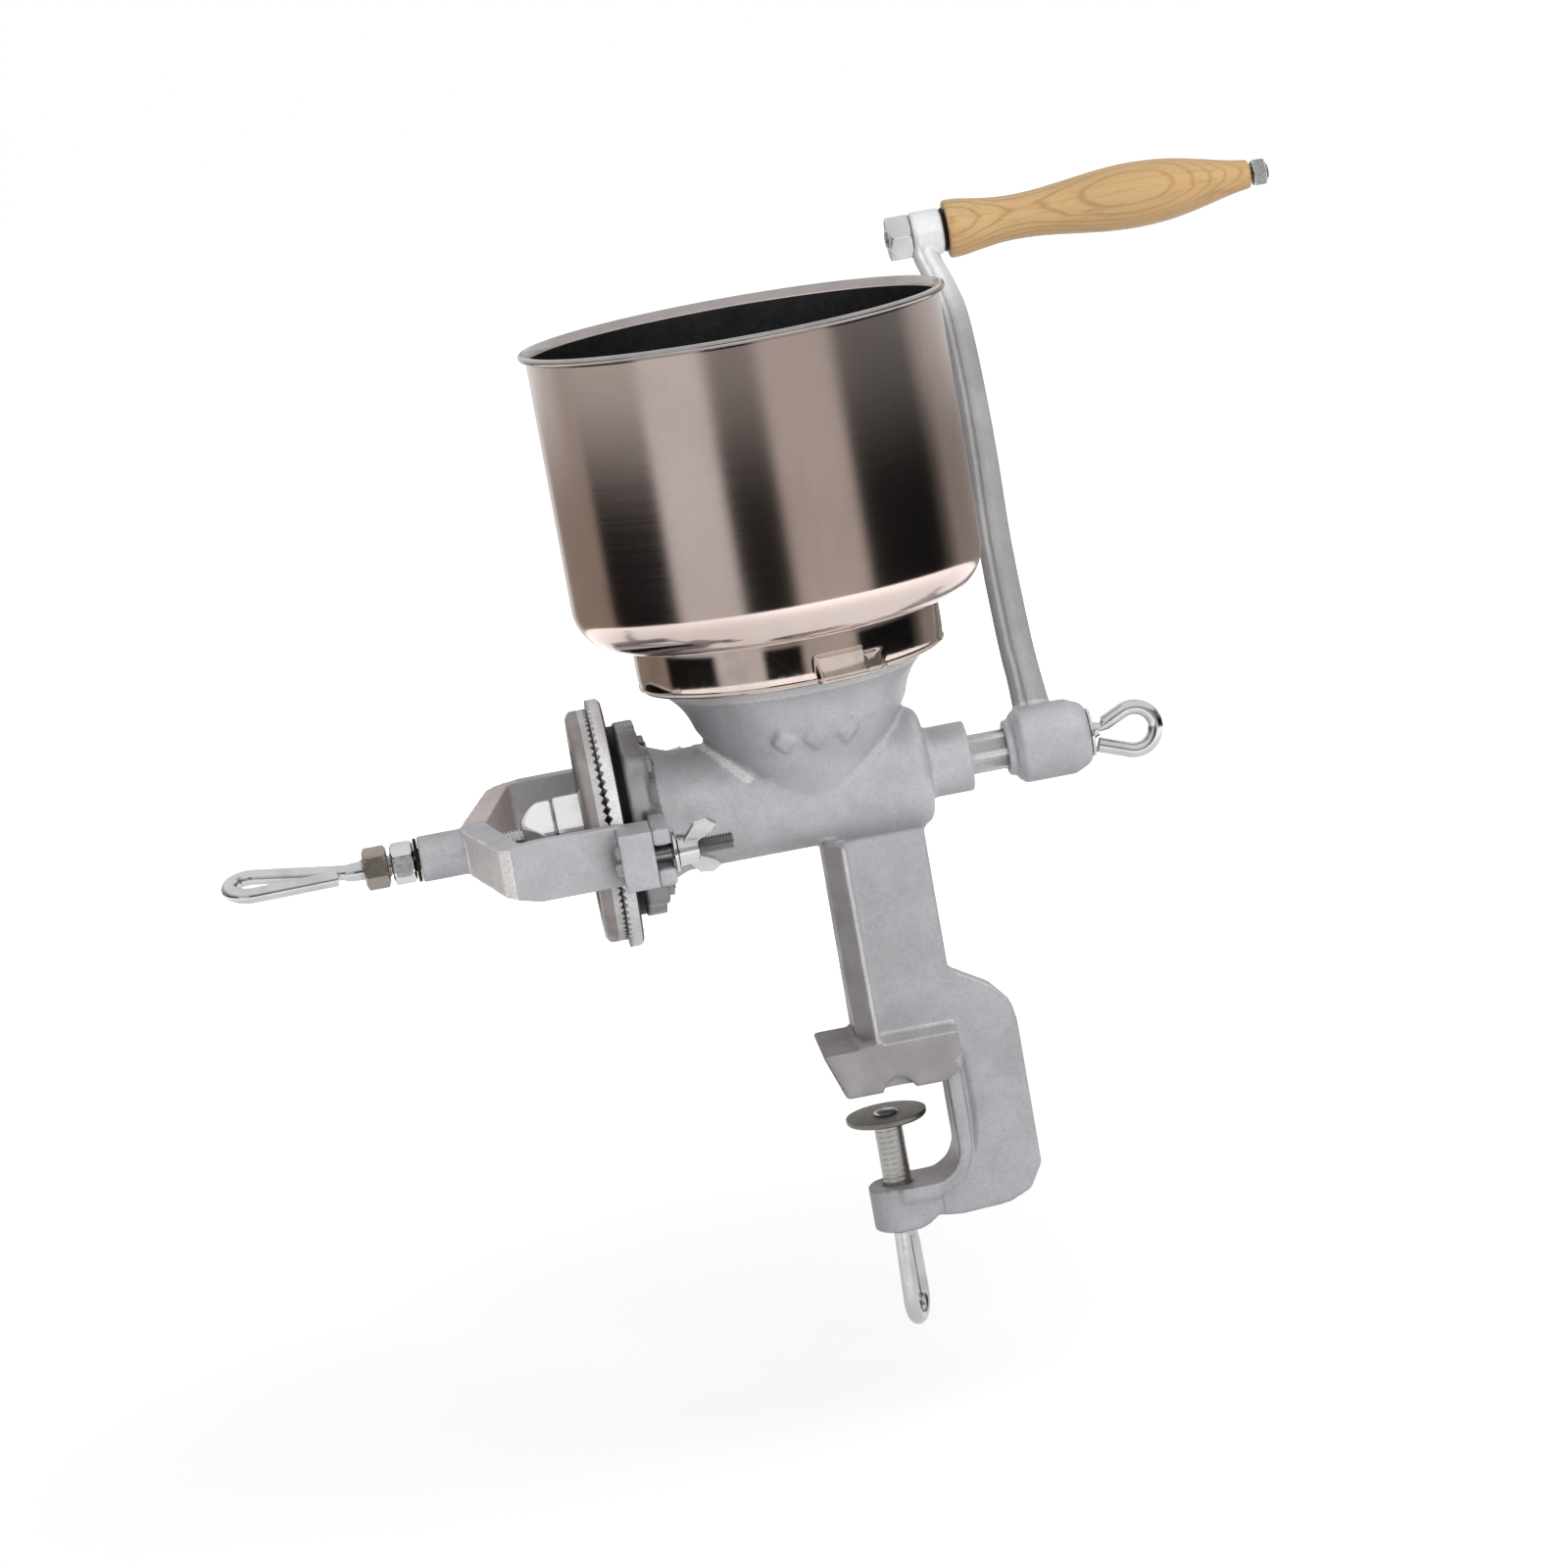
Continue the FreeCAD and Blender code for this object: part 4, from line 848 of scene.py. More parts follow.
def wire(name: str, path: Sequence[Vector], radius: float, finish: Finish = Finish.SCREW) -> Piece:
    """Wire along points.

    Args:
        name: Piece name.
        path: Points in millimetres.
        radius: Wire radius.
        finish: Finish.

    Returns:
        The piece.
    """
    curve = bpy.data.curves.new(name, "CURVE")
    curve.dimensions = "3D"
    spline = curve.splines.new("POLY")
    spline.points.add(len(path) - 1)
    for point, where in zip(spline.points, path):
        point.co = (*(Vector(where) * MM), 1.0)
    base = bpy.data.objects.new(name, curve)
    bpy.context.scene.collection.objects.link(base)
    return bent_wire().grow(name, finish, base=base, radius=radius * MM)


# --- dressing -----------------------------------------------------------------------------
def paint(piece: Piece, finishes: Sequence[Material], zone: Callable[[Vector, Vector], int]) -> Piece:
    """Give the faces of a piece several finishes.

    Args:
        piece: The piece.
        finishes: Materials by number.
        zone: Number for a face, from its centre in millimetres and its normal.

    Returns:
        The piece.
    """
    piece.data.materials.clear()
    for finish in finishes:
        piece.data.materials.append(finish)
    for face in piece.data.polygons:
        face.material_index = int(zone(face.center / MM, face.normal))
    return piece


def dress(piece: Piece, body: str, finish: Finish, *nodes: str, crisp: float = 34.0) -> Piece:
    """Give a piece its finish, shading, body and the nodes it stands for.

    Args:
        piece: The piece.
        body: Body that it rides on.
        finish: Finish, also the record's slot.
        *nodes: Nodes it replaces.
        crisp: Edges sharper than this stay crisp, in degrees.

    Returns:
        The piece.
    """
    mesh = piece.data
    if not mesh.materials:
        mesh.materials.append(material(finish))
    mesh.shade_smooth()
    mesh.set_sharp_from_angle(angle=math.radians(crisp))
    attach(piece, body)
    if nodes:
        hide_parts(*nodes)
    LOG.info("%s: %d faces on %s", piece.name, len(mesh.polygons), body)
    return piece


def keep(node: str, finish: Finish) -> None:
    """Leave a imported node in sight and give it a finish.

    Args:
        node: Node name.
        finish: Finish.
    """
    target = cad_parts[node]
    for place in target.material_slots:
        place.material = material(finish)
    if not target.material_slots:
        target.data.materials.append(material(finish))
    LOG.info("%s kept", node)


# --- sub-assemblies -----------------------------------------------------------------------
@dataclass
class Eye:
    """Bent wire eye: short rod, a leg up, the loop and a leg back to the rod."""

    reach: float
    wire_r: float = 2.7
    loop_r: float = 7.6
    drop: float = 1.6
    end: tuple[float, float] = (1.4, 4.9)
    shoulder: tuple[float, float] | None = None

    def path(self, rod: float, frame: Matrix) -> list[Vector]:
        """Centre line from the rod's start to the wire's cut end.

        Args:
            rod: Rod length before the root.
            frame: Placement; the rod runs along its +X and the eye lies in its XZ plane.

        Returns:
            Points in millimetres.
        """
        centre = Vector((rod + self.reach, -self.drop))
        root = Vector((rod, 0.0))
        end = Vector((rod + self.end[0], -self.end[1]))
        start = root if self.shoulder is None else root + Vector(self.shoulder)
        top, top_angle = self.touch(start, centre, 1)
        low, low_angle = self.touch(end, centre, -1)
        flat = [Vector((0.0, 0.0)), Vector((rod * 0.6, 0.0))]
        lead = ((top if self.shoulder is None else start) - root).normalized()
        for k in range(7):
            t = k / 6
            flat.append(root + Vector((-2.6, 0)) * (1 - t) ** 2 + lead * 2.6 * t ** 2)
        if self.shoulder is not None:
            flat += [root.lerp(start, t) for t in (0.55, 0.8)]
        flat += [start.lerp(top, t) for t in (0.15, 0.4, 0.7)]
        turn = low_angle - top_angle
        for k in range(33):
            angle = top_angle + turn * k / 32
            flat.append(centre + self.loop_r * Vector((math.cos(angle), math.sin(angle))))
        flat += [low.lerp(end, t) for t in (0.35, 0.7, 1.0)]
        return [frame @ Vector((p.x, 0.0, p.y)) for p in flat]

    def touch(self, start: Vector, centre: Vector, side: int) -> tuple[Vector, float]:
        """Where a line from start meets the loop.

        Args:
            start: Start of the leg.
            centre: Centre of the loop.
            side: 1 above, -1 below.

        Returns:
            The point and its angle round the loop, falling from top to bottom.
        """
        away = centre - start
        lean = math.atan2(away.y, away.x) + side * math.asin(self.loop_r / away.length)
        leg = math.sqrt(away.length ** 2 - self.loop_r ** 2)
        point = start + leg * Vector((math.cos(lean), math.sin(lean)))
        return point, lean + side * math.pi / 2


@dataclass
class Hopper:
    """Spun bowl, its rim, and the collar with two stamped pockets."""

    floor: float = 167.8
    rim_top: float = 272.4
    wall_r: float = 71.2
    wall_t: float = 1.0
    bead_r: float = 1.2
    bead_out: float = 0.5
    corner_r: float = 15.0
    hole_r: float = 46.0
    collar_r: float = 53.2
    collar_t: float = 1.0
    collar_z: float = 151.5
    pocket_at: float = -71.5
    pocket_deg: float = 29.0
    pocket_top: float = 9.85
    pocket_proud: float = 3.3
    pocket_ramps: tuple[float, float] = (1.8, 6.0)
    pocket_step: float = 2.2
    pocket_lean: float = 9.0
    lip: float = 0.7
    bulge: float = 0.8

    def corner(self, inset: float) -> list[tuple[float, float]]:
        """Rounded corner between floor and wall, a given way inside the outer face."""
        r = self.corner_r - inset
        return [(self.floor + inset + r * (1 - math.cos(a)), self.wall_r - inset - r * (1 - math.sin(a)))
                for a in (math.radians(90 * k / 16) for k in range(17))]

    def outline(self) -> list[tuple[float, float]]:
        """Section of the bowl from the floor's hole up the outside, over the rim and back inside.

        Returns:
            (height, radius) pairs.
        """
        top = self.rim_top - self.bead_r
        outer = [(self.floor, self.hole_r), *self.corner(0.0)]
        inner = [(self.floor + self.wall_t, self.hole_r), *self.corner(self.wall_t)]
        start, end = outer[-1][0], top - self.bead_r
        rise = [start + (end - 1.0 - start) * k / 12 for k in range(1, 13)] + [end - 0.5]
        outer += [(z, self.wall_r) for z in rise]
        middle = self.wall_r - self.wall_t / 2 + self.bead_r + self.bead_out
        for k in range(23):
            angle = math.radians(-150 + 300 * k / 22)
            outer.append((top + self.bead_r * math.sin(angle), middle + self.bead_r * math.cos(angle)))
        inner += [(z, self.wall_r - self.wall_t) for z in rise]
        return outer + inner[::-1]

    def bowl(self) -> None:
        """The bowl, with painted shade inside and a darker painted reflection on the bead."""
        bead_low = self.rim_top - 2 * self.bead_r

        def zone(centre: Vector, normal: Vector) -> int:
            """Which finish a face of the bowl gets.

            Args:
                centre: Face centre in millimetres.
                normal: Face normal.

            Returns:
                0 outside, 1 inside with painted shade, 2 on the bead with a painted reflection.
            """
            radial = Vector((centre.x, centre.y, 0.0)).normalized()
            if normal.dot(radial) < -0.2 and centre.z < bead_low - 1:
                return 1
            if normal.z > 0.5 and centre.z < self.rim_top - 20:
                return 1
            return 2 if centre.z > bead_low - 0.2 else 0

        # Painted shade: the inside is a dark copy of the steel; the bead's darker tone is a painted
        # reflection.
        finishes = (material(Finish.BOWL), Plated("bowl_inside", srgb(84, 84, 87), 0.28, 0.08).make(),
                    Plated("bowl_rim", srgb(164, 159, 156), 0.10, 0.05).make())
        piece = paint(lathe("hopper_bowl_spun", self.outline(), UPRIGHT, 256), finishes, zone)
        dress(piece, "hopper", Finish.BOWL, "hopper_bowl", crisp=50)

    def pocket(self, degrees: float, height: float) -> float:
        """How far the collar stands proud at a point.

        Args:
            degrees: Angle round the axis.
            height: Height above the collar's lower edge.

        Returns:
            Distance in millimetres.
        """
        left_ramp, right_ramp = self.pocket_ramps
        best = 0.0
        for centre in (self.pocket_at, self.pocket_at + 180):
            off = (degrees - centre + 180) % 360 - 180
            side = (self.pocket_deg / 2 - abs(off)) / (left_ramp if off < 0 else right_ramp)
            top = self.pocket_top - (self.pocket_step if off > 4 else 0.0)
            lid = min(max((top - height) / self.pocket_lean, 0.0), 1.0)
            edge = 0.15 * self.ease(lid * 6) + 0.85 * lid
            best = max(best, self.pocket_proud * self.ease(side) * edge)
        return best

    @staticmethod
    def ease(t: float) -> float:
        """Smooth step from 0 to 1."""
        t = min(max(t, 0.0), 1.0)
        return t * t * (3 - 2 * t)

    def collar(self) -> None:
        """The polished band."""
        inner = self.collar_r - self.collar_t
        height = self.floor - self.collar_z
        heights = [self.collar_z + height * k / 36 for k in range(37)]
        outline = [(z, self.collar_r) for z in heights] + [(z, inner) for z in reversed(heights)]

        def reach(along: float, radius: float, angle: float) -> float:
            """Band with stamped pockets and a small rolled lower lip.

            Args:
                along: Height.
                radius: Radius in the outline.
                angle: Angle round the axis.

            Returns:
                The radius there.
            """
            rise = along - self.collar_z
            proud = self.pocket(math.degrees(angle), rise)
            roll = self.lip * math.exp(-((rise - 0.7) / 0.6) ** 2)
            dip = self.bulge * (2 * rise / height - 1.1) ** 4 / 1.1 ** 4
            return radius - dip + (proud + roll if radius > inner + 0.1 else max(proud - 0.15, 0.0))

        piece = lathe("hopper_collar_band", outline, UPRIGHT, 480, reach)
        dress(piece, "hopper", Finish.COLLAR, "hopper_collar", crisp=50)

    def build(self) -> None:
        """Make bowl and collar."""
        self.bowl()
        self.collar()


class Zone(IntEnum):
    """The casting's finishes, by number: plain tin, painted shade on the flange, painted shade, painted
    highlight and painted half shade.
    """

    PLAIN, FLANGE, AGED, RUBBED, WORN = range(5)


@dataclass
class MillCasting:
    """The one-piece casting with its soft edges."""

    voxel: float = 1.07
    rounds: int = 3
    barrel_r: float = 21.4
    web_rib: tuple[float, float] = (-1.0, 6.4)
    web_rib_z: tuple[float, float] = (17.5, 87.0)
    groove: Outline = (
        (33.4, 6.5), (34.0, -12.7), (33.6, -22.0), (32.3, -28.8), (29.2, -34.6), (24.0, -38.2),
        (19.2, -40.8), (17.2, -45.5), (16.2, -54.0))
    groove_depth: float = 1.5
    groove_width: float = 1.15
    groove_rim: float = 2.4
    # flange_r bounds the painted shade on the flange.
    flange_r: float = 42.0
    rib: tuple[Point, ...] = (
        (-38.5, -0.6, 129.2), (-36.7, -2.6, 128.9), (-33.2, -8.5, 127.2), (-29.4, -13.9, 123.7),
        (-26.0, -16.6, 120.8), (-23.0, -18.5, 117.8))
    rib_r: float = 1.3
    # Reach of the painted highlight along the ridge.
    rib_rubbed: float = 1.7
    marks: tuple[tuple[float, float], ...] = ((-9.5, 131.0), (1.2, 131.0), (12.6, 131.0))
    mark_size: tuple[float, float, float] = (4.0, 5.6, 1.4)
    lobe_r: float = 6.2
    flange: tuple[float, float] = (-64.4, -56.2)
    # Above this height the throat's lip gets a painted highlight.
    throat_lip: float = 147.4
    ledge_top: float = 60.0
    jaw_z: tuple[float, float] = (-14.0, 17.5)
    arm_top: float = -20.0
    boss_top: float = -38.0
    # Plain tin, then lighter and darker copies of it: painted shade on the flange, painted shade, painted
    # highlight, painted half shade.
    finishes: tuple[CastTin, ...] = (
        CastTin("cast_body_tin"), CastTin("cast_flange", srgb(152, 151, 153), srgb(128, 127, 128), 0.5, 0.34),
        CastTin("cast_aged", srgb(146, 140, 139), srgb(134, 128, 127)),
        CastTin("cast_rubbed", srgb(214, 212, 213), srgb(200, 198, 199)),
        CastTin("cast_worn", srgb(168, 164, 163), srgb(158, 153, 152)))

    def lobes(self) -> list[Piece]:
        """Screw lobes on the flange."""
        return [disc("lobe", *self.flange, self.lobe_r, 2.1, beside_shaft(SCREW_RING, 45 + 90 * k), 0.8)
                for k in range(4)]

    def front(self, z: float) -> float:
        """Front of the column's rib at a height."""
        return -12.75 - 0.0725 * (88.0 - z)

    def broad_rib(self) -> Piece:
        """The column's rib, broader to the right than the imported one.

        Returns:
            The rib.
        """
        right = self.web_rib[1]
        sections = []
        for z in (self.web_rib_z[0] - 2.0, self.web_rib_z[1]):
            front = self.front(z)
            corners = ((1.0, -4.0), (right, -4.0), (right, front), (1.0, front))
            sections.append([Vector((x, y, z)) for x, y in corners])
        return loft("broad_rib", sections)

    def groove_gap(self, x: float, z: float) -> float:
        """Distance from a point of the front to the clamp's groove.

        Args:
            x: Place along X in millimetres.
            z: Height in millimetres.

        Returns:
            Distance in millimetres.
        """
        place = Vector((x, z, 0.0))
        best = math.inf
        for start, end in zip(self.groove, self.groove[1:]):
            a, b = Vector((*start, 0.0)), Vector((*end, 0.0))
            share = min(max((place - a).dot(b - a) / (b - a).length_squared, 0.0), 1.0)
            best = min(best, (place - a.lerp(b, share)).length)
        return best

    def slant(self, mesh: Mesh) -> None:
        """Cut the rib's left corner to a slanted face, and a groove round the clamp's inner band.

        Args:
            mesh: The remeshed casting.
        """
        left, right = self.web_rib
        low, high = self.web_rib_z
        corner_y = -7.0
        for vertex in mesh.vertices:
            x, y, z = vertex.co / MM
            off_barrel = math.hypot(y, z - SHAFT_Z) > self.barrel_r + 0.7
            if left - 1.5 < x < right + 0.5 and y < -6.0 and low < z < high + 4.0 and off_barrel:
                share = min(max((x - left) / (right - 1.2 - left), 0.0), 1.0)
                vertex.co.y = max(y, corner_y + (self.front(z) - corner_y) * share) * MM
            elif self.on_clamp(x, y, z):
                gap = self.groove_gap(x, z) / self.groove_width
                vertex.co.y += self.groove_depth * math.exp(-gap ** 2) * MM

    @staticmethod
    def on_clamp(x: float, y: float, z: float) -> bool:
        """Whether a point lies on the front of the clamp."""
        return x > 12.0 and y < -3.0 and z < 9.0

    def motif(self, raw: Piece) -> list[Piece]:
        """Raised lozenges on the throat.

        Args:
            raw: The casting, whose surface they stand on.

        Returns:
            The lozenges.
        """
        mesh = raw.data
        skin = BVHTree.FromPolygons([v.co for v in mesh.vertices], [p.vertices for p in mesh.polygons])
        half_w, half_h, proud = self.mark_size
        corners = ((-half_w, 0.0), (0.0, -half_h), (half_w, 0.0), (0.0, half_h))
        pieces = []
        for x, z in self.marks:
            place, normal, _, _ = skin.ray_cast(Vector((x, -90.0, z)) * MM, Vector((0.0, 1.0, 0.0)))
            side = Vector((0.0, 0.0, 1.0)).cross(normal).normalized()
            frame = Matrix((side, normal.cross(side), normal)).transposed().to_4x4()
            frame.translation = place / MM
            pieces.append(loft("lozenge", [[frame @ Vector((u, v, depth)) for u, v in corners]
                                           for depth in (-proud, proud)]))
        return pieces

    @cached_property
    def rib_line(self) -> list[Vector]:
        """Close points along the ridge."""
        ends = [Vector(point) for point in self.rib]
        return [a.lerp(b, k / 4) for a, b in zip(ends, ends[1:]) for k in range(5)]

    def zone(self, centre: Vector, normal: Vector) -> Zone:
        """Which of the casting's finishes a face gets, with painted shade, highlight and half shade chosen by
        its place and facing.

        Args:
            centre: Face centre in millimetres.
            normal: Face normal.

        Returns:
            The zone.
        """
        x, y, z = centre
        low, high = self.web_rib_z
        # Painted shade on the flange round the burr.
        if x < self.flange[1] + 2.5 and math.hypot(y, z - SHAFT_Z) < self.flange_r:
            return Zone.FLANGE
        # Painted highlight on the throat's lip and along the ridge over the rib.
        if z > self.throat_lip and normal.z < 0.9:
            return Zone.RUBBED
        if z > high:
            near = min((centre - point).length for point in self.rib_line)
            return Zone.RUBBED if near < self.rib_rubbed else Zone.PLAIN
        # Painted highlight on the rib's right edge, painted half shade on its slant.
        if z > low and x < self.web_rib[1] + 0.4 and y < -5.5:
            return Zone.RUBBED if x > self.web_rib[1] - 1.5 else Zone.WORN
        if z < self.boss_top and normal.z < 0.5:
            return Zone.PLAIN
        if self.on_clamp(x, y, z) and self.groove_gap(x, z) < self.groove_rim:
            return Zone.PLAIN
        # Painted shade on left-facing faces; painted half shade on left and upward faces below the clamp arm.
        if normal.x < -0.5 or (normal.z > 0.5 and z < self.arm_top):
            return Zone.WORN if z < self.arm_top else Zone.AGED
        # Upward ledge faces: painted highlight on the right, painted shade on the left.
        if normal.z > 0.45 and normal.y < 0.2 and z < self.ledge_top:
            return Zone.RUBBED if x > 1 else Zone.AGED
        # Painted half shade on the jaw's front.
        on_jaw = self.jaw_z[0] < z < self.jaw_z[1] and y < -13 and normal.y < -0.5
        return Zone.WORN if on_jaw else Zone.PLAIN

    def build(self) -> None:
        """Make the casting, with painted shade on the flange, painted shade and half shade on left and low
        faces, and painted highlights on edges.
        """
        raw = copy_of("mill_body", "raw")
        ridge = wire("ridge", [Vector(point) for point in self.rib], self.rib_r)
        body = joined("mill_casting", [raw, *self.motif(raw), ridge, self.broad_rib(), *self.lobes()])
        body = cast(body, self.voxel, self.rounds)
        self.slant(body.data)
        paint(body, [finish.make() for finish in self.finishes], self.zone)
        dress(body, "mill", Finish.CAST_BODY, "mill_body", crisp=80)


@dataclass
class BurrSet:
    """Fixed burr, rotating burr and its carrier."""

    fixed_face: float = -72.5
    fixed_t: float = 6.2
    shadow_gap: float = 1.1
    fixed_r: float = 43.3
    seat_x: float = -65.0
    seat_r: float = 33.0
    bore_r: float = 17.5
    rotating_face: float = -72.9
    rotating_t: float = 3.1
    rotating_r: float = 40.5
    rotating_bore: float = 14.0
    carrier_t: float = 4.2
    hub_r: float = 12.5
    hub_l: float = 9.8
    tooth_inner: float = 30.0
    tooth_depth: float = 1.35
    teeth: int = 84
    nut_end: float = -57.0
    carrier_seat: float = -79.2
    carrier_ring: float = 26.0

    def toothed(self, name: str, blank: Piece, face: float, outer: float, depth: float) -> Piece:
        """Cut the teeth of a burr.

        Args:
            name: Piece name.
            blank: Turned disc.
            face: Its grinding face along X.
            outer: Its rim radius.
            depth: Groove depth, signed along X.

        Returns:
            The toothed piece.
        """
        return toothed_face().grow(
            name, Finish.CAST_BURR, base=blank, face=face * MM, inner=self.tooth_inner * MM,
            outer=(outer - 2) * MM, depth=depth * MM, count=float(self.teeth))

    def face_rows(self, face: float, inner: float, outer: float) -> list[tuple[float, float]]:
        """Points across a grinding face."""
        return [(face, inner + (outer - inner) * k / 9) for k in range(10)]

    def fixed(self) -> None:
        """The fixed burr."""
        x0, x1 = self.fixed_face, self.fixed_face + self.fixed_t - self.shadow_gap
        rows = self.face_rows(x0, self.bore_r, self.fixed_r)
        r = self.fixed_r
        rim = [(x0 + 1.9, r), (x1 - 1.6, r), (x1 - 0.7, r - 0.4), (x1, r - 1.6), (x1, self.seat_r + 0.4),
               (x1 + 0.3, self.seat_r), (self.seat_x, self.seat_r), (self.seat_x, self.bore_r)]
        blank = lathe("fixed_blank", rows + rim, SHAFT, self.teeth * 6)
        plate = self.toothed("fixed_burr_plate", blank, x0, self.fixed_r, self.tooth_depth)
        # Painted light: the fixed burr gets a lighter copy of the burr tin, and its back a near-black painted
        # shade for the gap by the flange.
        tin = CastTin("fixed_burr_tin", srgb(226, 225, 224), srgb(218, 216, 215), 0.4, 0.36, 0.03)
        dark = Plated("burr_back", srgb(44, 42, 42), 0.5)
        paint(plate, (tin.make(), dark.make()), lambda centre, _: centre.x > x1 - 0.5)
        dress(plate, "mill", Finish.CAST_BURR, "fixed_burr")

    def rotating(self) -> None:
        """The rotating burr."""
        x1, x0 = self.rotating_face, self.rotating_face - self.rotating_t
        rows = self.face_rows(x1, self.rotating_bore, self.rotating_r)
        rim = [(x1 - 1.9, self.rotating_r), (x0, self.rotating_r), (x0, self.rotating_bore)]
        blank = lathe("rotating_blank", rows + rim, SHAFT, self.teeth * 6)
        dress(self.toothed("rotating_burr_plate", blank, x1, self.rotating_r, -self.tooth_depth), "rotor",
              Finish.CAST_BURR, "rotating_burr")

    def carrier(self) -> None:
        """The dished carrier and its hub."""
        x1 = self.rotating_face - self.rotating_t
        x0 = x1 - self.carrier_t
        hub = x0 - self.hub_l
        bore, r, rim = 8.05, self.hub_r, self.rotating_r
        outline = [(hub, bore), (hub, r - 1.2), (hub + 0.5, r - 0.3), (hub + 1.4, r), (x0 - 0.5, r),
                   (x0 + 0.7, r + 1.4), (x0 + 1.0, r + 3.0), (x0 + 1.0, 31.0), (x0 + 0.7, 32.6), (x0, 34.0),
                   (x0, rim - 2.2), (x0 + 0.9, rim - 0.6), (x0 + 2.0, rim), (x1, rim), (x1, bore)]
        piece = lathe("burr_carrier_disc", outline, SHAFT, 192)
        # Painted shade: the dished face gets a darker copy of the burr tin; the hub is bright steel.
        finishes = (CastTin("carrier_face", srgb(158, 150, 146), srgb(140, 132, 128), 0.5, 0.34, 0.05).make(),
                    Plated("hub_steel", srgb(226, 226, 226), 0.10, 0.06).make())
        paint(piece, finishes, lambda centre, _: centre.x < x0 - 1.0)
        dress(piece, "rotor", Finish.CAST_BURR, "burr_carrier")

    def screws(self) -> None:
        """Screws and nuts of both burrs."""
        nuts, tails, heads = [], [], []
        seat, end = self.fixed_face + 3, self.nut_end
        for k in range(4):
            line = beside_shaft(SCREW_RING, 45 + 90 * k)
            nuts.append(hexagon("nut", 7.0, 2.05, end - 0.5, end + 2.7, line, 17.0 * k))
            tails.append(thread("tail", Finish.THREAD, Line((end - 1.0, *line.point[1:])), 4.2, 2.0, 0.7))
            head = [(seat - 1.8, 0.0), (seat - 1.8, 3.4), (seat, 3.6), (seat, 2.0), (end, 2.0), (end, 0.0)]
            tails.append(lathe("head", head, line, 32))
        dress(joined("flange_nuts", nuts), "mill", Finish.THREAD, "fixed_burr_nuts")
        dress(joined("flange_screws", tails), "mill", Finish.THREAD, "fixed_burr_screws")
        x = self.carrier_seat
        dome = [(x - 1.5, 0.0), (x - 1.5, 1.2), (x - 1.25, 2.4), (x - 0.6, 3.4), (x, 3.6), (x, 2.0),
                (x + 4.8, 2.0), (x + 4.8, 0.0)]
        for k in range(3):
            heads.append(lathe("screw", dome, beside_shaft(self.carrier_ring, 90 + 120 * k), 48))
        dress(joined("carrier_screw_set", heads), "rotor", Finish.THREAD, "carrier_screws")

    def build(self) -> None:
        """Make every burr piece."""
        self.fixed()
        self.rotating()
        self.carrier()
        self.screws()


@dataclass
class YokeSet:
    """Yoke, its studs, washers and wing nuts."""

    stud_at: tuple[float, float] = (55.947, 2.443)
    stud_r: float = 3.0
    head_x: float = -74.5
    stud_end: float = -33.3
    thread_start: float = -55.0
    washer: tuple[float, float] = (-53.7, -52.5)
    washer_r: float = 7.0
    bend_x: tuple[float, float] = (-122.0, -100.0)

    def axis(self, side: int) -> Line:
        """A stud's axis: side -1 near, 1 far."""
        return Line((0.0, side * self.stud_at[0], SHAFT_Z + side * self.stud_at[1]))

    def zone(self, centre: Vector, normal: Vector) -> int:
        """Which finish a face of the yoke gets.

        Args:
            centre: Face centre in millimetres.
            normal: Face normal.

        Returns:
            0 plain, 1 painted highlight, 2 painted warm reflection.
        """
        if not self.bend_x[0] < centre.x < self.bend_x[1]:
            return 0
        if normal.x < -0.3 and normal.y < -0.1:
            return 1
        return 2 if centre.y > 2 and (abs(normal.x) > 0.3 or normal.z > 0.5) else 0

    def yoke(self) -> None:
        """The cast bow."""
        # Painted highlight on the near bend's outer faces and a painted warm reflection on the far bend.
        rubbed = CastTin("yoke_rubbed", srgb(244, 238, 236), srgb(232, 226, 224))
        bronzed = CastTin("cast_bronzed", srgb(206, 194, 189), srgb(194, 182, 177))
        finishes = (material(Finish.CAST_BODY), rubbed.make(), bronzed.make())
        piece = paint(cast(copy_of("yoke", "yoke_bow"), 0.55, 3), finishes, self.zone)
        dress(piece, "mill", Finish.CAST_BODY, "yoke", crisp=80)

    def studs(self) -> None:
        """Both studs in one piece."""
        parts = []
        for side in (-1, 1):
            line = self.axis(side)
            head = self.head_x
            dome = [(head, 0.0), (head + 0.1, 2.4), (head + 0.7, 4.3), (head + 1.7, 5.3), (head + 3.0, 5.4),
                    (head + 3.0, 3.0), (-54.5, 3.0), (-54.5, 0.0)]
            parts.append(lathe("stud", dome, line, 48))
            start = Line((self.thread_start, *line.point[1:]))
            length = self.stud_end - self.thread_start
            parts.append(thread("stud_thread", Finish.THREAD, start, length, self.stud_r, 1.0))
        dress(joined("yoke_stud_pair", parts), "mill", Finish.THREAD, "yoke_studs")

    def nuts(self) -> None:
        """Washers and wing nuts."""
        for side, word in ((-1, "near"), (1, "far")):
            line = self.axis(side)
            washer = disc(f"{word}_stud_washer", *self.washer, self.washer_r, M6_BORE, line)
            dress(washer, f"{word}_collar", Finish.NUT, f"{word}_washer")
            nut = cast(copy_of(f"{word}_wing_nut", f"{word}_winged"), 0.28, 4)
            dress(nut, f"{word}_nut", Finish.NUT, f"{word}_wing_nut", crisp=80)

    def build(self) -> None:
        """Make yoke, studs and nuts."""
        self.yoke()
        self.studs()
        self.nuts()


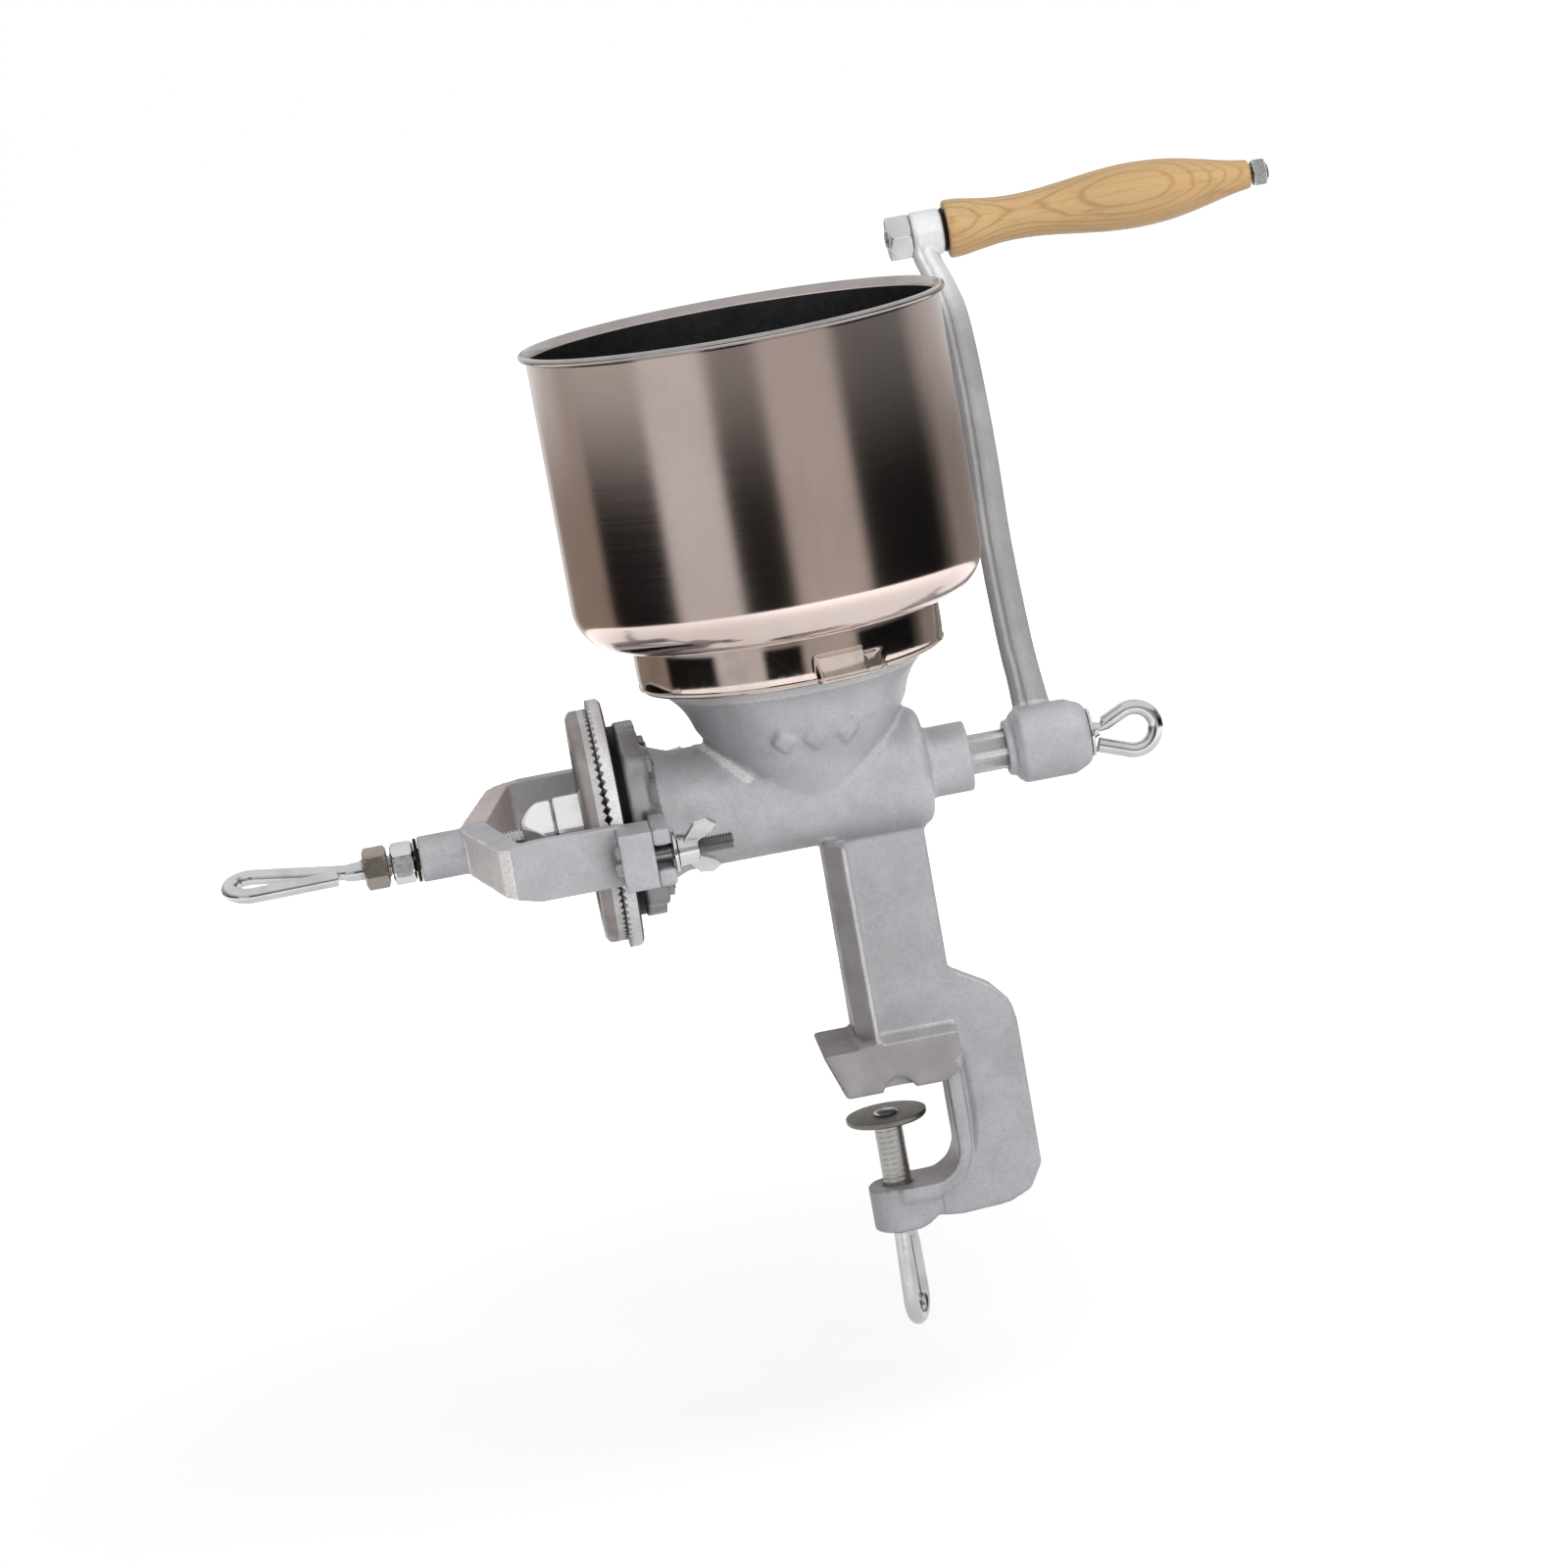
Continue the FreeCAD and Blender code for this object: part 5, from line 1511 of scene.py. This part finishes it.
@dataclass
class AdjustingSet:
    """Adjusting screw with its eye, nuts, washer, thrust cup and ball."""

    jam: tuple[float, float] = (-157.5, -149.0)
    lock: tuple[float, float] = (-147.8, -139.8)
    washer: tuple[float, float] = (-139.5, -138.3)
    cup: tuple[float, float] = (-102.0, -90.5)
    flats: float = 13.0
    jam_turn: float = 14.0
    bore_r: float = 4.0
    washer_r: float = 7.6
    thread_r: float = 3.95
    rod_r: float = 3.35
    rod_l: float = 8.0
    eye_turn: float = 13.0
    eye_lift: float = 3.5
    eye: Eye = field(default_factory=lambda: Eye(30.95, end=(1.4, 4.3)))

    def screw(self) -> None:
        """Threaded shank, rod and nearly level eye."""
        frame = Matrix.Translation((self.jam[0], 0.0, SHAFT_Z)) @ Matrix.Rotation(math.pi, 4, "Z") \
            @ Matrix.Rotation(math.radians(-self.eye_lift), 4, "Y") \
            @ Matrix.Rotation(math.radians(90 - self.eye_turn), 4, "X")
        loop = wire("loop", self.eye.path(self.rod_l, frame), self.eye.wire_r)
        x = self.jam[0]
        tip = x - self.rod_l + 1.0
        rod = lathe("rod", [(tip, 0.0), (tip, 2.6), (tip + 2.5, 3.2), (x - 2.0, self.rod_r),
                            (x + 1.0, self.rod_r), (x + 1.0, 0.0)], SHAFT, 48)
        length = self.cup[0] + 7.0 - (x - 1.0)
        bar = thread("bar", Finish.THREAD, Line((x - 1.0, 0.0, SHAFT_Z)), length, self.thread_r, 1.25)
        dress(joined("adjusting_eye_screw", [loop, rod, bar]), "adjuster", Finish.SCREW, "adjusting_screw")

    def nuts(self) -> None:
        """Jam nut, lock nut and washer."""
        jam = hexagon("jam_hex", self.flats, self.bore_r, *self.jam, SHAFT, self.jam_turn)
        jam.data.materials.append(Plated("jam_nut_steel", srgb(152, 144, 137), 0.12, 0.08).make())
        dress(jam, "adjuster", Finish.NUT, "jam_nut")
        lock = hexagon("lock_hex_nut", self.flats, self.bore_r, *self.lock, SHAFT)
        dress(lock, "lock_hex", Finish.NUT, "lock_nut")
        ring = disc("lock_ring_disc", *self.washer, self.washer_r, self.bore_r)
        dress(ring, "lock_ring", Finish.RING, "lock_washer")

    def thrust(self) -> None:
        """Domed cup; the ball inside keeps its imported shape."""
        x0, x1 = self.cup
        dome = [(x0, 4.0), (x0, 6.0)]
        for k in range(1, 12):
            t = k / 12
            dome.append((x0 + (x1 - x0) * 0.72 * t, 6.0 + 6.0 * math.sin(math.pi / 2 * t) ** 0.9))
        dome += [(x1 - 2.6, 12.0), (x1 - 0.5, 12.0), (x1, 11.4), (x1, 3.0), (x0 + 7.2, 3.0), (x0 + 7.2, 4.0)]
        cup = lathe("thrust_dome", dome, SHAFT, 128)
        cup.data.materials.append(Plated("cup_steel", srgb(232, 232, 232), 0.08, 0.05).make())
        dress(cup, "thrust", Finish.SCREW, "thrust_cup", crisp=40)
        keep("thrust_ball", Finish.SCREW)

    def build(self) -> None:
        """Make the whole set."""
        self.screw()
        self.nuts()
        self.thrust()


@dataclass
class FeedScrew:
    """Auger with its fluted shank, and the drive pin."""

    shank: tuple[float, float] = (53.4, 93.8)
    shank_r: float = 6.9
    flute_depth: float = 1.3
    flutes: int = 6

    def build(self) -> None:
        """Make the auger and the pin."""
        flight = copy_of("auger", "auger_flight")
        start, end = self.shank
        ridged = ridged_bar().grow(
            "flutes", Finish.CAST_BURR, place=Line((start, 0.0, SHAFT_Z)).matrix(), length=(end - start) * MM,
            radius=self.shank_r * MM, depth=self.flute_depth * MM, ridges=float(self.flutes),
            turns_per_metre=0.0, facets=144, rings=6, taper=0.3 * MM)
        dress(joined("feed_screw", [flight, ridged]), "rotor", Finish.CAST_BURR, "auger")
        keep("drive_pin", Finish.THREAD)


@dataclass
class Crank:
    """Crank arm, the washer and the eye screw that hold it."""

    hub: tuple[float, float] = (70.3, 97.0)
    hub_r: float = 13.2
    boss: tuple[float, float] = (73.4, 84.7)
    boss_r: float = 8.2
    bore_r: float = 6.95
    # Height above the shaft where the arm's painted light tone starts.
    worn: float = 14.0
    washer: tuple[float, float] = (97.3, 98.5)
    washer_r: float = 8.5
    eye_x: float = 98.8
    eye: Eye = field(default_factory=lambda: Eye(14.5))
    stations: tuple[tuple[float, float, float, float], ...] = (
        (0.0, 79.9, 6.6, 5.6), (0.06, 79.8, 6.6, 5.4), (0.12, 79.5, 6.2, 4.8), (0.20, 79.0, 6.1, 4.3),
        (0.38, 79.4, 6.0, 4.1), (0.55, 81.4, 5.7, 4.0), (0.66, 82.3, 5.5, 4.0), (0.76, 82.6, 5.4, 4.0),
        (0.84, 82.2, 5.3, 4.0), (0.90, 80.2, 5.1, 4.2), (0.945, 77.7, 4.9, 4.6), (0.99, 76.7, 4.9, 5.0))
    profile: tuple[tuple[float, float], ...] = (
        (-1.0, 0.05), (-0.90, -0.55), (-0.56, -0.92), (-0.40, -0.66), (-0.22, -0.97), (0.22, -1.0),
        (0.70, -0.55), (1.0, -0.18), (0.98, 0.30), (0.60, 0.88), (-0.10, 1.0), (-0.75, 0.80))

    def section(self, share: float, middle: float, half_w: float, half_t: float) -> list[Vector]:
        """Ring of the arm: facets with a shallow groove down the near side.

        Args:
            share: Place along the throw.
            middle: Middle along X.
            half_w: Half width along X.
            half_t: Half thickness across.

        Returns:
            Points in millimetres, crank upright.
        """
        ring = []
        for (x0, y0), (x1, y1) in zip(self.profile, self.profile[1:] + self.profile[:1]):
            for t in (0.0, 0.33, 0.67):
                x, y = x0 + (x1 - x0) * t, y0 + (y1 - y0) * t
                ring.append(Vector((middle + half_w * x, half_t * y, SHAFT_Z + THROW * share)))
        return ring

    def spine(self) -> list[tuple[float, float, float, float]]:
        """Stations along the arm, eased between the given ones.

        Returns:
            Rows like the given ones, four to each.
        """
        result = []
        rows = self.stations
        for i in range(len(rows) - 1):
            before, here = rows[max(i - 1, 0)], rows[i]
            after, later = rows[i + 1], rows[min(i + 2, len(rows) - 1)]
            for k in range(4):
                t = k / 4
                row = []
                for p0, p1, p2, p3 in zip(before, here, after, later):
                    row.append(0.5 * (2 * p1 + (p2 - p0) * t + (2 * p0 - 5 * p1 + 4 * p2 - p3) * t * t
                                      + (3 * p1 - p0 - 3 * p2 + p3) * t ** 3))
                result.append(tuple(row))
        result.append(rows[-1])
        return result

    def arm(self) -> None:
        """Hub, arm and handle boss as one casting."""
        x0, x1 = self.hub
        r = self.hub_r
        section = [(x0 - 2.5, self.bore_r), (x0 - 2.5, 9.6), (x0, 9.9), (x0 + 0.6, 11.4), (x0 + 3.0, r),
                   (x1 - 6.5, r), (x1 - 1.5, r - 2.2), (x1, r - 3.6), (x1, self.bore_r)]
        hub = lathe("hub", eased(section, 1.0), SHAFT, 96)
        tip = Line((0.0, 0.0, SHAFT_Z + THROW))
        b0, b1 = self.boss
        r = self.boss_r
        section = [(b0, M6_BORE), (b0, r - 0.6), (b0 + 1.2, r), (b1 - 1.2, r), (b1, r - 0.6), (b1, M6_BORE)]
        boss = lathe("boss", eased(section, 0.8), tip, 72)
        bar = loft("arm", [self.section(*row) for row in self.spine() if row[0] > 0.045])
        piece = cast(joined("crank_casting", [hub, boss, bar]), 0.55, 3)
        # Painted light: arm and boss get a lighter copy of the tin, with painted shade towards the lower arm;
        # the hub keeps the body's tin.
        arm = CastTin("cast_arm", srgb(228, 228, 230), srgb(214, 213, 214), low_shade=0.54,
                      shade_z=(0.246, 0.272), speckle=0.12)
        finishes = (material(Finish.CAST_BODY), arm.make())
        paint(piece, finishes, lambda centre, _: centre.z > SHAFT_Z + self.worn)
        dress(leaned(piece), "rotor", Finish.CAST_BODY, "crank_arm", crisp=80)

    def screw(self) -> None:
        """Eye screw and washer."""
        x = self.eye_x
        frame = Matrix.Translation((x - 0.6, 0.0, SHAFT_Z))
        loop = wire("loop", self.eye.path(0.6, frame), self.eye.wire_r)
        bar = thread("bar", Finish.SCREW, Line((x - 16.0, 0.0, SHAFT_Z)), 15.6, 3.0, 1.25)
        root = lathe("root", [(x - 1.6, 0.0), (x - 1.6, 3.0), (x - 0.3, 3.0), (x + 0.9, 2.6), (x + 1.6, 1.6),
                              (x + 1.9, 0.0)], SHAFT, 32)
        dress(joined("crank_eye_screw", [loop, bar, root]), "crank_eye", Finish.SCREW, "crank_screw")
        ring = disc("crank_ring_disc", *self.washer, self.washer_r, M6_BORE)
        dress(ring, "crank_ring", Finish.NUT, "crank_washer")

    def build(self) -> None:
        """Make arm, screw and washer."""
        self.arm()
        self.screw()


def leaned(piece: Piece) -> Piece:
    """Lean an upright piece back with the crank.

    Args:
        piece: The piece, modelled with the crank upright.

    Returns:
        The same piece.
    """
    pivot = Matrix.Translation((0.0, 0.0, SHAFT_Z * MM))
    piece.data.transform(pivot @ Matrix.Rotation(math.radians(-LEAN), 4, "X") @ pivot.inverted())
    return piece


@dataclass
class Handle:
    """Wooden grip on its bolt, with nuts and the dark washer."""

    axis_z: float = SHAFT_Z + THROW
    grip: tuple[float, float] = (86.1, 196.6)
    nut: tuple[float, float] = (65.0, 73.4)
    nut_flats: float = 15.4
    ring: tuple[float, float] = (84.8, 85.8)
    ring_r: float = 7.8
    tip_nut: tuple[float, float] = (197.6, 202.6)
    tip_flats: float = 9.0
    bolt_end: float = 203.4
    radii: tuple[tuple[float, float], ...] = (
        (0.0, 10.5), (0.05, 10.15), (0.1, 9.25), (0.17, 8.25), (0.23, 8.0), (0.31, 8.45), (0.42, 9.9),
        (0.52, 11.2), (0.62, 11.7), (0.72, 11.05), (0.80, 9.6), (0.88, 7.6), (0.94, 6.1), (1.0, 5.0))

    def radius(self, share: float) -> float:
        """Grip radius at a share of its length.

        Args:
            share: 0 at the crank, 1 at the tip.

        Returns:
            Radius in millimetres.
        """
        rows = self.radii
        for i in range(len(rows) - 1):
            if share <= rows[i + 1][0]:
                break
        p0, p1 = rows[max(i - 1, 0)], rows[i]
        p2, p3 = rows[i + 1], rows[min(i + 2, len(rows) - 1)]
        t = (share - p1[0]) / (p2[0] - p1[0])
        m1 = (p2[1] - p0[1]) / max(p2[0] - p0[0], 1e-6) * (p2[0] - p1[0])
        m2 = (p3[1] - p1[1]) / max(p3[0] - p1[0], 1e-6) * (p2[0] - p1[0])
        return ((2 * t ** 3 - 3 * t * t + 1) * p1[1] + (t ** 3 - 2 * t * t + t) * m1
                + (3 * t * t - 2 * t ** 3) * p2[1] + (t ** 3 - t * t) * m2)

    def build(self) -> None:
        """Make grip, bolt, nuts and washer."""
        line = Line((0.0, 0.0, self.axis_z))
        x0, x1 = self.grip
        outline = [(x0, M6_BORE), (x0, 9.6), (x0 + 0.3, 10.2)]
        outline += [(x0 + (x1 - x0) * k / 90, self.radius(k / 90)) for k in range(1, 90)]
        outline += [(x1 - 0.25, 4.9), (x1, 4.3), (x1, M6_BORE)]
        dress(leaned(lathe("wood_grip", outline, line, 128)), "handle", Finish.GRIP, "handle_grip", crisp=45)
        start, end = self.nut[0] - 0.8, self.bolt_end
        bolt = lathe("bolt", eased([(start, 0.0), (start, 2.6), (start + 0.5, 3.0), (self.grip[1], 3.0),
                                    (self.grip[1], 0.0)], 0.2), line, 48)
        tail = thread("tail", Finish.THREAD, Line((self.grip[1] - 0.5, 0.0, self.axis_z)),
                      end - self.grip[1] + 0.5, 3.0, 1.0)
        dress(leaned(joined("grip_bolt", [bolt, tail])), "rotor", Finish.THREAD, "handle_bolt")
        nut = hexagon("grip_nut", self.nut_flats, M6_BORE, *self.nut, line, 12.0)
        dress(leaned(nut), "rotor", Finish.NUT, "handle_nut")
        tip = hexagon("tip_nut", self.tip_flats, M6_BORE, *self.tip_nut, line, 8.0)
        dress(leaned(tip), "rotor", Finish.NUT, "end_nut")
        ring = disc("grip_ring", *self.ring, self.ring_r, M6_BORE, line, 0.5)
        dress(leaned(ring), "rotor", Finish.RING, "handle_washer")


@dataclass
class ClampSet:
    """Clamp screw with its eye, and the swivelling pad."""

    x: float = 5.0
    pad: tuple[float, float] = (-14.0, -11.8)
    pad_r: float = 14.2
    screw_r: float = 5.0
    eye_z: float = -54.4
    turn: float = 70.0
    eye: Eye = field(default_factory=lambda: Eye(24.4, end=(-0.7, 6.2), shoulder=(3.2, 5.4)))

    def build(self) -> None:
        """Make screw and pad."""
        line = Line((self.x, 0.0, 0.0), (0.0, 0.0, 1.0))
        top = self.pad[0] - 0.3
        bar = thread("bar", Finish.PAD, Line((self.x, 0.0, self.eye_z), (0.0, 0.0, 1.0)), top - self.eye_z,
                     self.screw_r, 2.0, 0.09)
        z = self.pad[1]
        neck = lathe("neck", [(top - 1.0, 0.0), (top - 1.0, 3.0), (z + 0.3, 3.0), (z + 0.3, 4.4),
                              (z + 0.8, 4.1), (z + 1.4, 3.0), (z + 1.7, 0.0)], line, 48)
        turn = Matrix.Rotation(math.radians(self.turn), 4, "Z") @ Matrix.Rotation(math.radians(90), 4, "Y")
        frame = Matrix.Translation((self.x, 0.0, self.eye_z + 4.0)) @ turn
        loop = wire("loop", self.eye.path(4.0, frame), self.eye.wire_r)
        screw = joined("clamp_eye_screw", [bar, neck, loop])
        finishes = (Plated("clamp_eye_steel", srgb(188, 188, 187), 0.12, 0.08).make(),
                    Plated("clamp_thread", srgb(172, 170, 166), 0.30, 0.12).make())
        paint(screw, finishes, lambda centre, _: self.eye_z + 6.0 < centre.z < top)
        dress(screw, "clamp_eye", Finish.SCREW, "clamp_screw")
        low, high = self.pad
        outline = eased([(low, 3.05), (low, self.pad_r - 0.6), (low + 0.7, self.pad_r), (high, self.pad_r),
                         (high, self.pad_r - 0.8), (high - 0.25, self.pad_r - 2.0), (high - 0.25, 6.0),
                         (high, 5.0), (high, 3.05)], 0.25)
        dress(lathe("clamp_disc", outline, line, 128), "pad", Finish.PAD, "clamp_pad")


# --- studio -------------------------------------------------------------------------------
@dataclass
class Studio:
    """Camera, floor, lamps, world and the reflecting wall."""

    azimuth: float = -3.5
    elevation: float = 10.95
    roll: float = 10.1
    distance: float = 1700.0
    lens: float = 112.96
    target: Point = (-9.91, 0.0, 110.18)
    floor_z: float = -122.0
    floor_glow: tuple[float, float] = (0.51, 1.0)
    floor_tone: Colour = (0.60, 0.60, 0.60)
    floor_reach: float = 9.0
    grey: Colour = (0.32, 0.32, 0.33)
    lit_point: Point = (0.0, 0.0, 0.11)
    lamps: tuple[tuple[str, Point, float, float], ...] = (
        ("key", (0.45, -1.7, 0.50), 1.3, 24.0), ("fill", (1.5, -0.7, 0.9), 1.2, 8.0),
        ("top", (0.3, -0.4, 1.7), 1.4, 8.0), ("back", (-0.5, 1.7, 0.7), 1.3, 10.0))
    ring_r: float = 900.0
    ring_z: tuple[float, float] = (-91.0, 420.0)
    ring_fade: tuple[float, float] = (0.098, 0.190)
    ring_low: Stops = (
        (-180, (0.30, 0.28, 0.27)), (-172, (0.30, 0.28, 0.27)), (-169, (0.80, 0.76, 0.72)),
        (-159, (0.74, 0.70, 0.66)), (-154, (0.30, 0.25, 0.21)), (-108, (0.32, 0.27, 0.23)),
        (-103, (0.012, 0.011, 0.011)), (-62, (0.012, 0.011, 0.011)), (-57, (0.72, 0.71, 0.71)),
        (-25, (0.72, 0.71, 0.71)), (-21, (0.010, 0.010, 0.010)), (3, (0.010, 0.010, 0.010)),
        (8, (0.55, 0.51, 0.48)), (44, (0.55, 0.51, 0.48)), (49, (0.008, 0.008, 0.008)),
        (97, (0.008, 0.009, 0.009)), (106, (0.10, 0.09, 0.08)), (116, (0.30, 0.27, 0.25)),
        (160, (0.30, 0.27, 0.25)), (180, (0.30, 0.28, 0.27)))
    ring_high: Stops = (
        (-180, (0.45, 0.44, 0.44)), (-172, (0.50, 0.50, 0.50)), (-166, (0.90, 0.90, 0.90)),
        (-130, (0.66, 0.65, 0.64)), (-112, (0.46, 0.43, 0.42)), (-96, (0.60, 0.57, 0.56)),
        (-64, (0.60, 0.58, 0.57)), (-56, (0.74, 0.72, 0.72)), (-26, (0.72, 0.71, 0.71)),
        (-18, (0.30, 0.29, 0.28)), (1, (0.30, 0.29, 0.28)), (9, (0.55, 0.52, 0.50)),
        (42, (0.52, 0.50, 0.48)), (52, (0.19, 0.19, 0.19)), (94, (0.20, 0.21, 0.21)),
        (106, (0.50, 0.48, 0.48)), (150, (0.70, 0.70, 0.70)), (172, (0.70, 0.70, 0.70)),
        (180, (0.45, 0.44, 0.44)))

    def camera(self) -> None:
        """Camera with a roll about its axis."""
        a, e, r = (math.radians(v) for v in (self.azimuth, self.elevation, self.roll))
        back = Vector((math.sin(a) * math.cos(e), -math.cos(a) * math.cos(e), math.sin(e)))
        right = (-back).cross(Vector((0, 0, 1))).normalized()
        up = right.cross(-back)
        side = math.cos(r) * right - math.sin(r) * up
        head = math.sin(r) * right + math.cos(r) * up
        data = bpy.data.cameras.new("view")
        data.lens = self.lens
        data.sensor_width = 36.0
        data.clip_end = 20.0
        holder = bpy.data.objects.new("view", data)
        place = Matrix((side, head, back)).transposed().to_4x4()
        place.translation = (Vector(self.target) + back * self.distance) * MM
        holder.matrix_world = place
        bpy.context.scene.collection.objects.link(holder)
        bpy.context.scene.camera = holder

    def white(self, name: str, own: Colour, near: float, far: float) -> Material:
        """Pale matt material that shows as white to the camera and to gloss.

        Args:
            name: Material name.
            own: Colour that lights the object.
            near: Light added for the camera and gloss under the object.
            far: The same far from it.

        Returns:
            The material.
        """
        g = Graph(name)
        g.set(base_color=own, roughness=0.9, specular_ior_level=0.0)
        x, y, _ = g.split(g.place)
        light = g.math("MULTIPLY", g.seen(), g.between(g.hypot(x, y), near, far, 0.25, 0.9))
        shine = g.node("ShaderNodeEmission", WHITE, light)
        both = g.node("ShaderNodeAddShader", g.shader.outputs["BSDF"], shine.outputs["Emission"])
        g.plug(both.outputs[0], g.surface)
        return g.material

    def floor(self) -> None:
        """Wide pale floor under the object, brighter for the camera with the distance."""
        mesh = bpy.data.meshes.new("floor")
        r, z = self.floor_reach, self.floor_z * MM
        mesh.from_pydata([(-r, -r, z), (r, -r, z), (r, r, z), (-r, r, z)], [], [(0, 1, 2, 3)])
        mesh.materials.append(self.white("floor_white", self.floor_tone, *self.floor_glow))
        object_of("floor", mesh)

    def ring_tone(self, g: Graph, azimuth: Socket, stops: Stops) -> Socket:
        """Light of the wall at a share of a turn, from stops in degrees with 0 towards the viewer."""
        return g.ramp(azimuth, [((angle + 180) / 360, colour) for angle, colour in stops])

    def reflecting_wall(self) -> None:
        """Round wall of pale and dark panels that only gloss sees."""
        g = Graph("reflecting_wall")
        x, y, z = g.split(g.place)
        turn = g.math("ARCTAN2", x, g.math("MULTIPLY", y, -1.0))
        azimuth = g.math("ADD", g.math("DIVIDE", turn, TAU), 0.5)
        tone = g.mix(g.between(z, 0.0, 1.0, *self.ring_fade), self.ring_tone(g, azimuth, self.ring_low),
                     self.ring_tone(g, azimuth, self.ring_high))
        g.plug(g.node("ShaderNodeEmission", tone).outputs["Emission"], g.surface)
        steps = 120
        radius = self.ring_r * MM
        corners = [(radius * math.sin(TAU * k / steps), -radius * math.cos(TAU * k / steps), height * MM)
                   for k in range(steps) for height in self.ring_z]
        count = len(corners)
        mesh = bpy.data.meshes.new("reflecting_wall")
        panels = [(i, (i + 2) % count, (i + 3) % count, i + 1) for i in range(0, count, 2)]
        mesh.from_pydata(corners, [], panels)
        mesh.materials.append(g.material)
        holder = object_of("reflecting_wall", mesh)
        for ray in ("camera", "diffuse", "shadow", "transmission"):
            setattr(holder, f"visible_{ray}", False)

    def lamp(self, name: str, place: Point, size: float, watts: float) -> None:
        """Square soft lamp aimed at the object.

        Args:
            name: Lamp name.
            place: Position in metres.
            size: Side in metres.
            watts: Power.
        """
        data = bpy.data.lights.new(name, "AREA")
        data.size = size
        data.energy = watts
        holder = bpy.data.objects.new(name, data)
        holder.location = place
        aim = Vector(self.lit_point) - Vector(place)
        holder.rotation_euler = aim.to_track_quat("-Z", "Y").to_euler()
        holder.visible_glossy = False
        bpy.context.scene.collection.objects.link(holder)

    def world(self) -> None:
        """Soft grey light, white to the camera and to gloss."""
        world = bpy.data.worlds.new("studio")
        bpy.context.scene.world = world
        world.use_nodes = True
        tree = Tree(world.node_tree)
        back = tree.node("ShaderNodeBackground", tree.mix(tree.seen(), self.grey, WHITE))
        tree.node("ShaderNodeOutputWorld", back.outputs[0])

    def build(self) -> None:
        """Set the whole studio."""
        self.camera()
        self.floor()
        self.reflecting_wall()
        self.world()
        for lamp in self.lamps:
            self.lamp(*lamp)
        bpy.context.scene.view_settings.view_transform = "Standard"


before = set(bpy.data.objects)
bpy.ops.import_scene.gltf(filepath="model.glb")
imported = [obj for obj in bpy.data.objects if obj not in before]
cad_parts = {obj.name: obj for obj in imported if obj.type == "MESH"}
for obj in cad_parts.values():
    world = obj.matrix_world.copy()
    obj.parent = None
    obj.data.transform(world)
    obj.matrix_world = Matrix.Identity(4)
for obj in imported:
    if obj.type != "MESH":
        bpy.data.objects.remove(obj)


def main() -> None:
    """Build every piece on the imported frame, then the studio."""
    logging.basicConfig(level=logging.INFO, format="%(message)s")
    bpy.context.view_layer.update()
    for part in (Hopper, MillCasting, BurrSet, YokeSet, AdjustingSet, FeedScrew, Crank, Handle, ClampSet,
                 Studio):
        part().build()


if __name__ == "__main__":
    main()
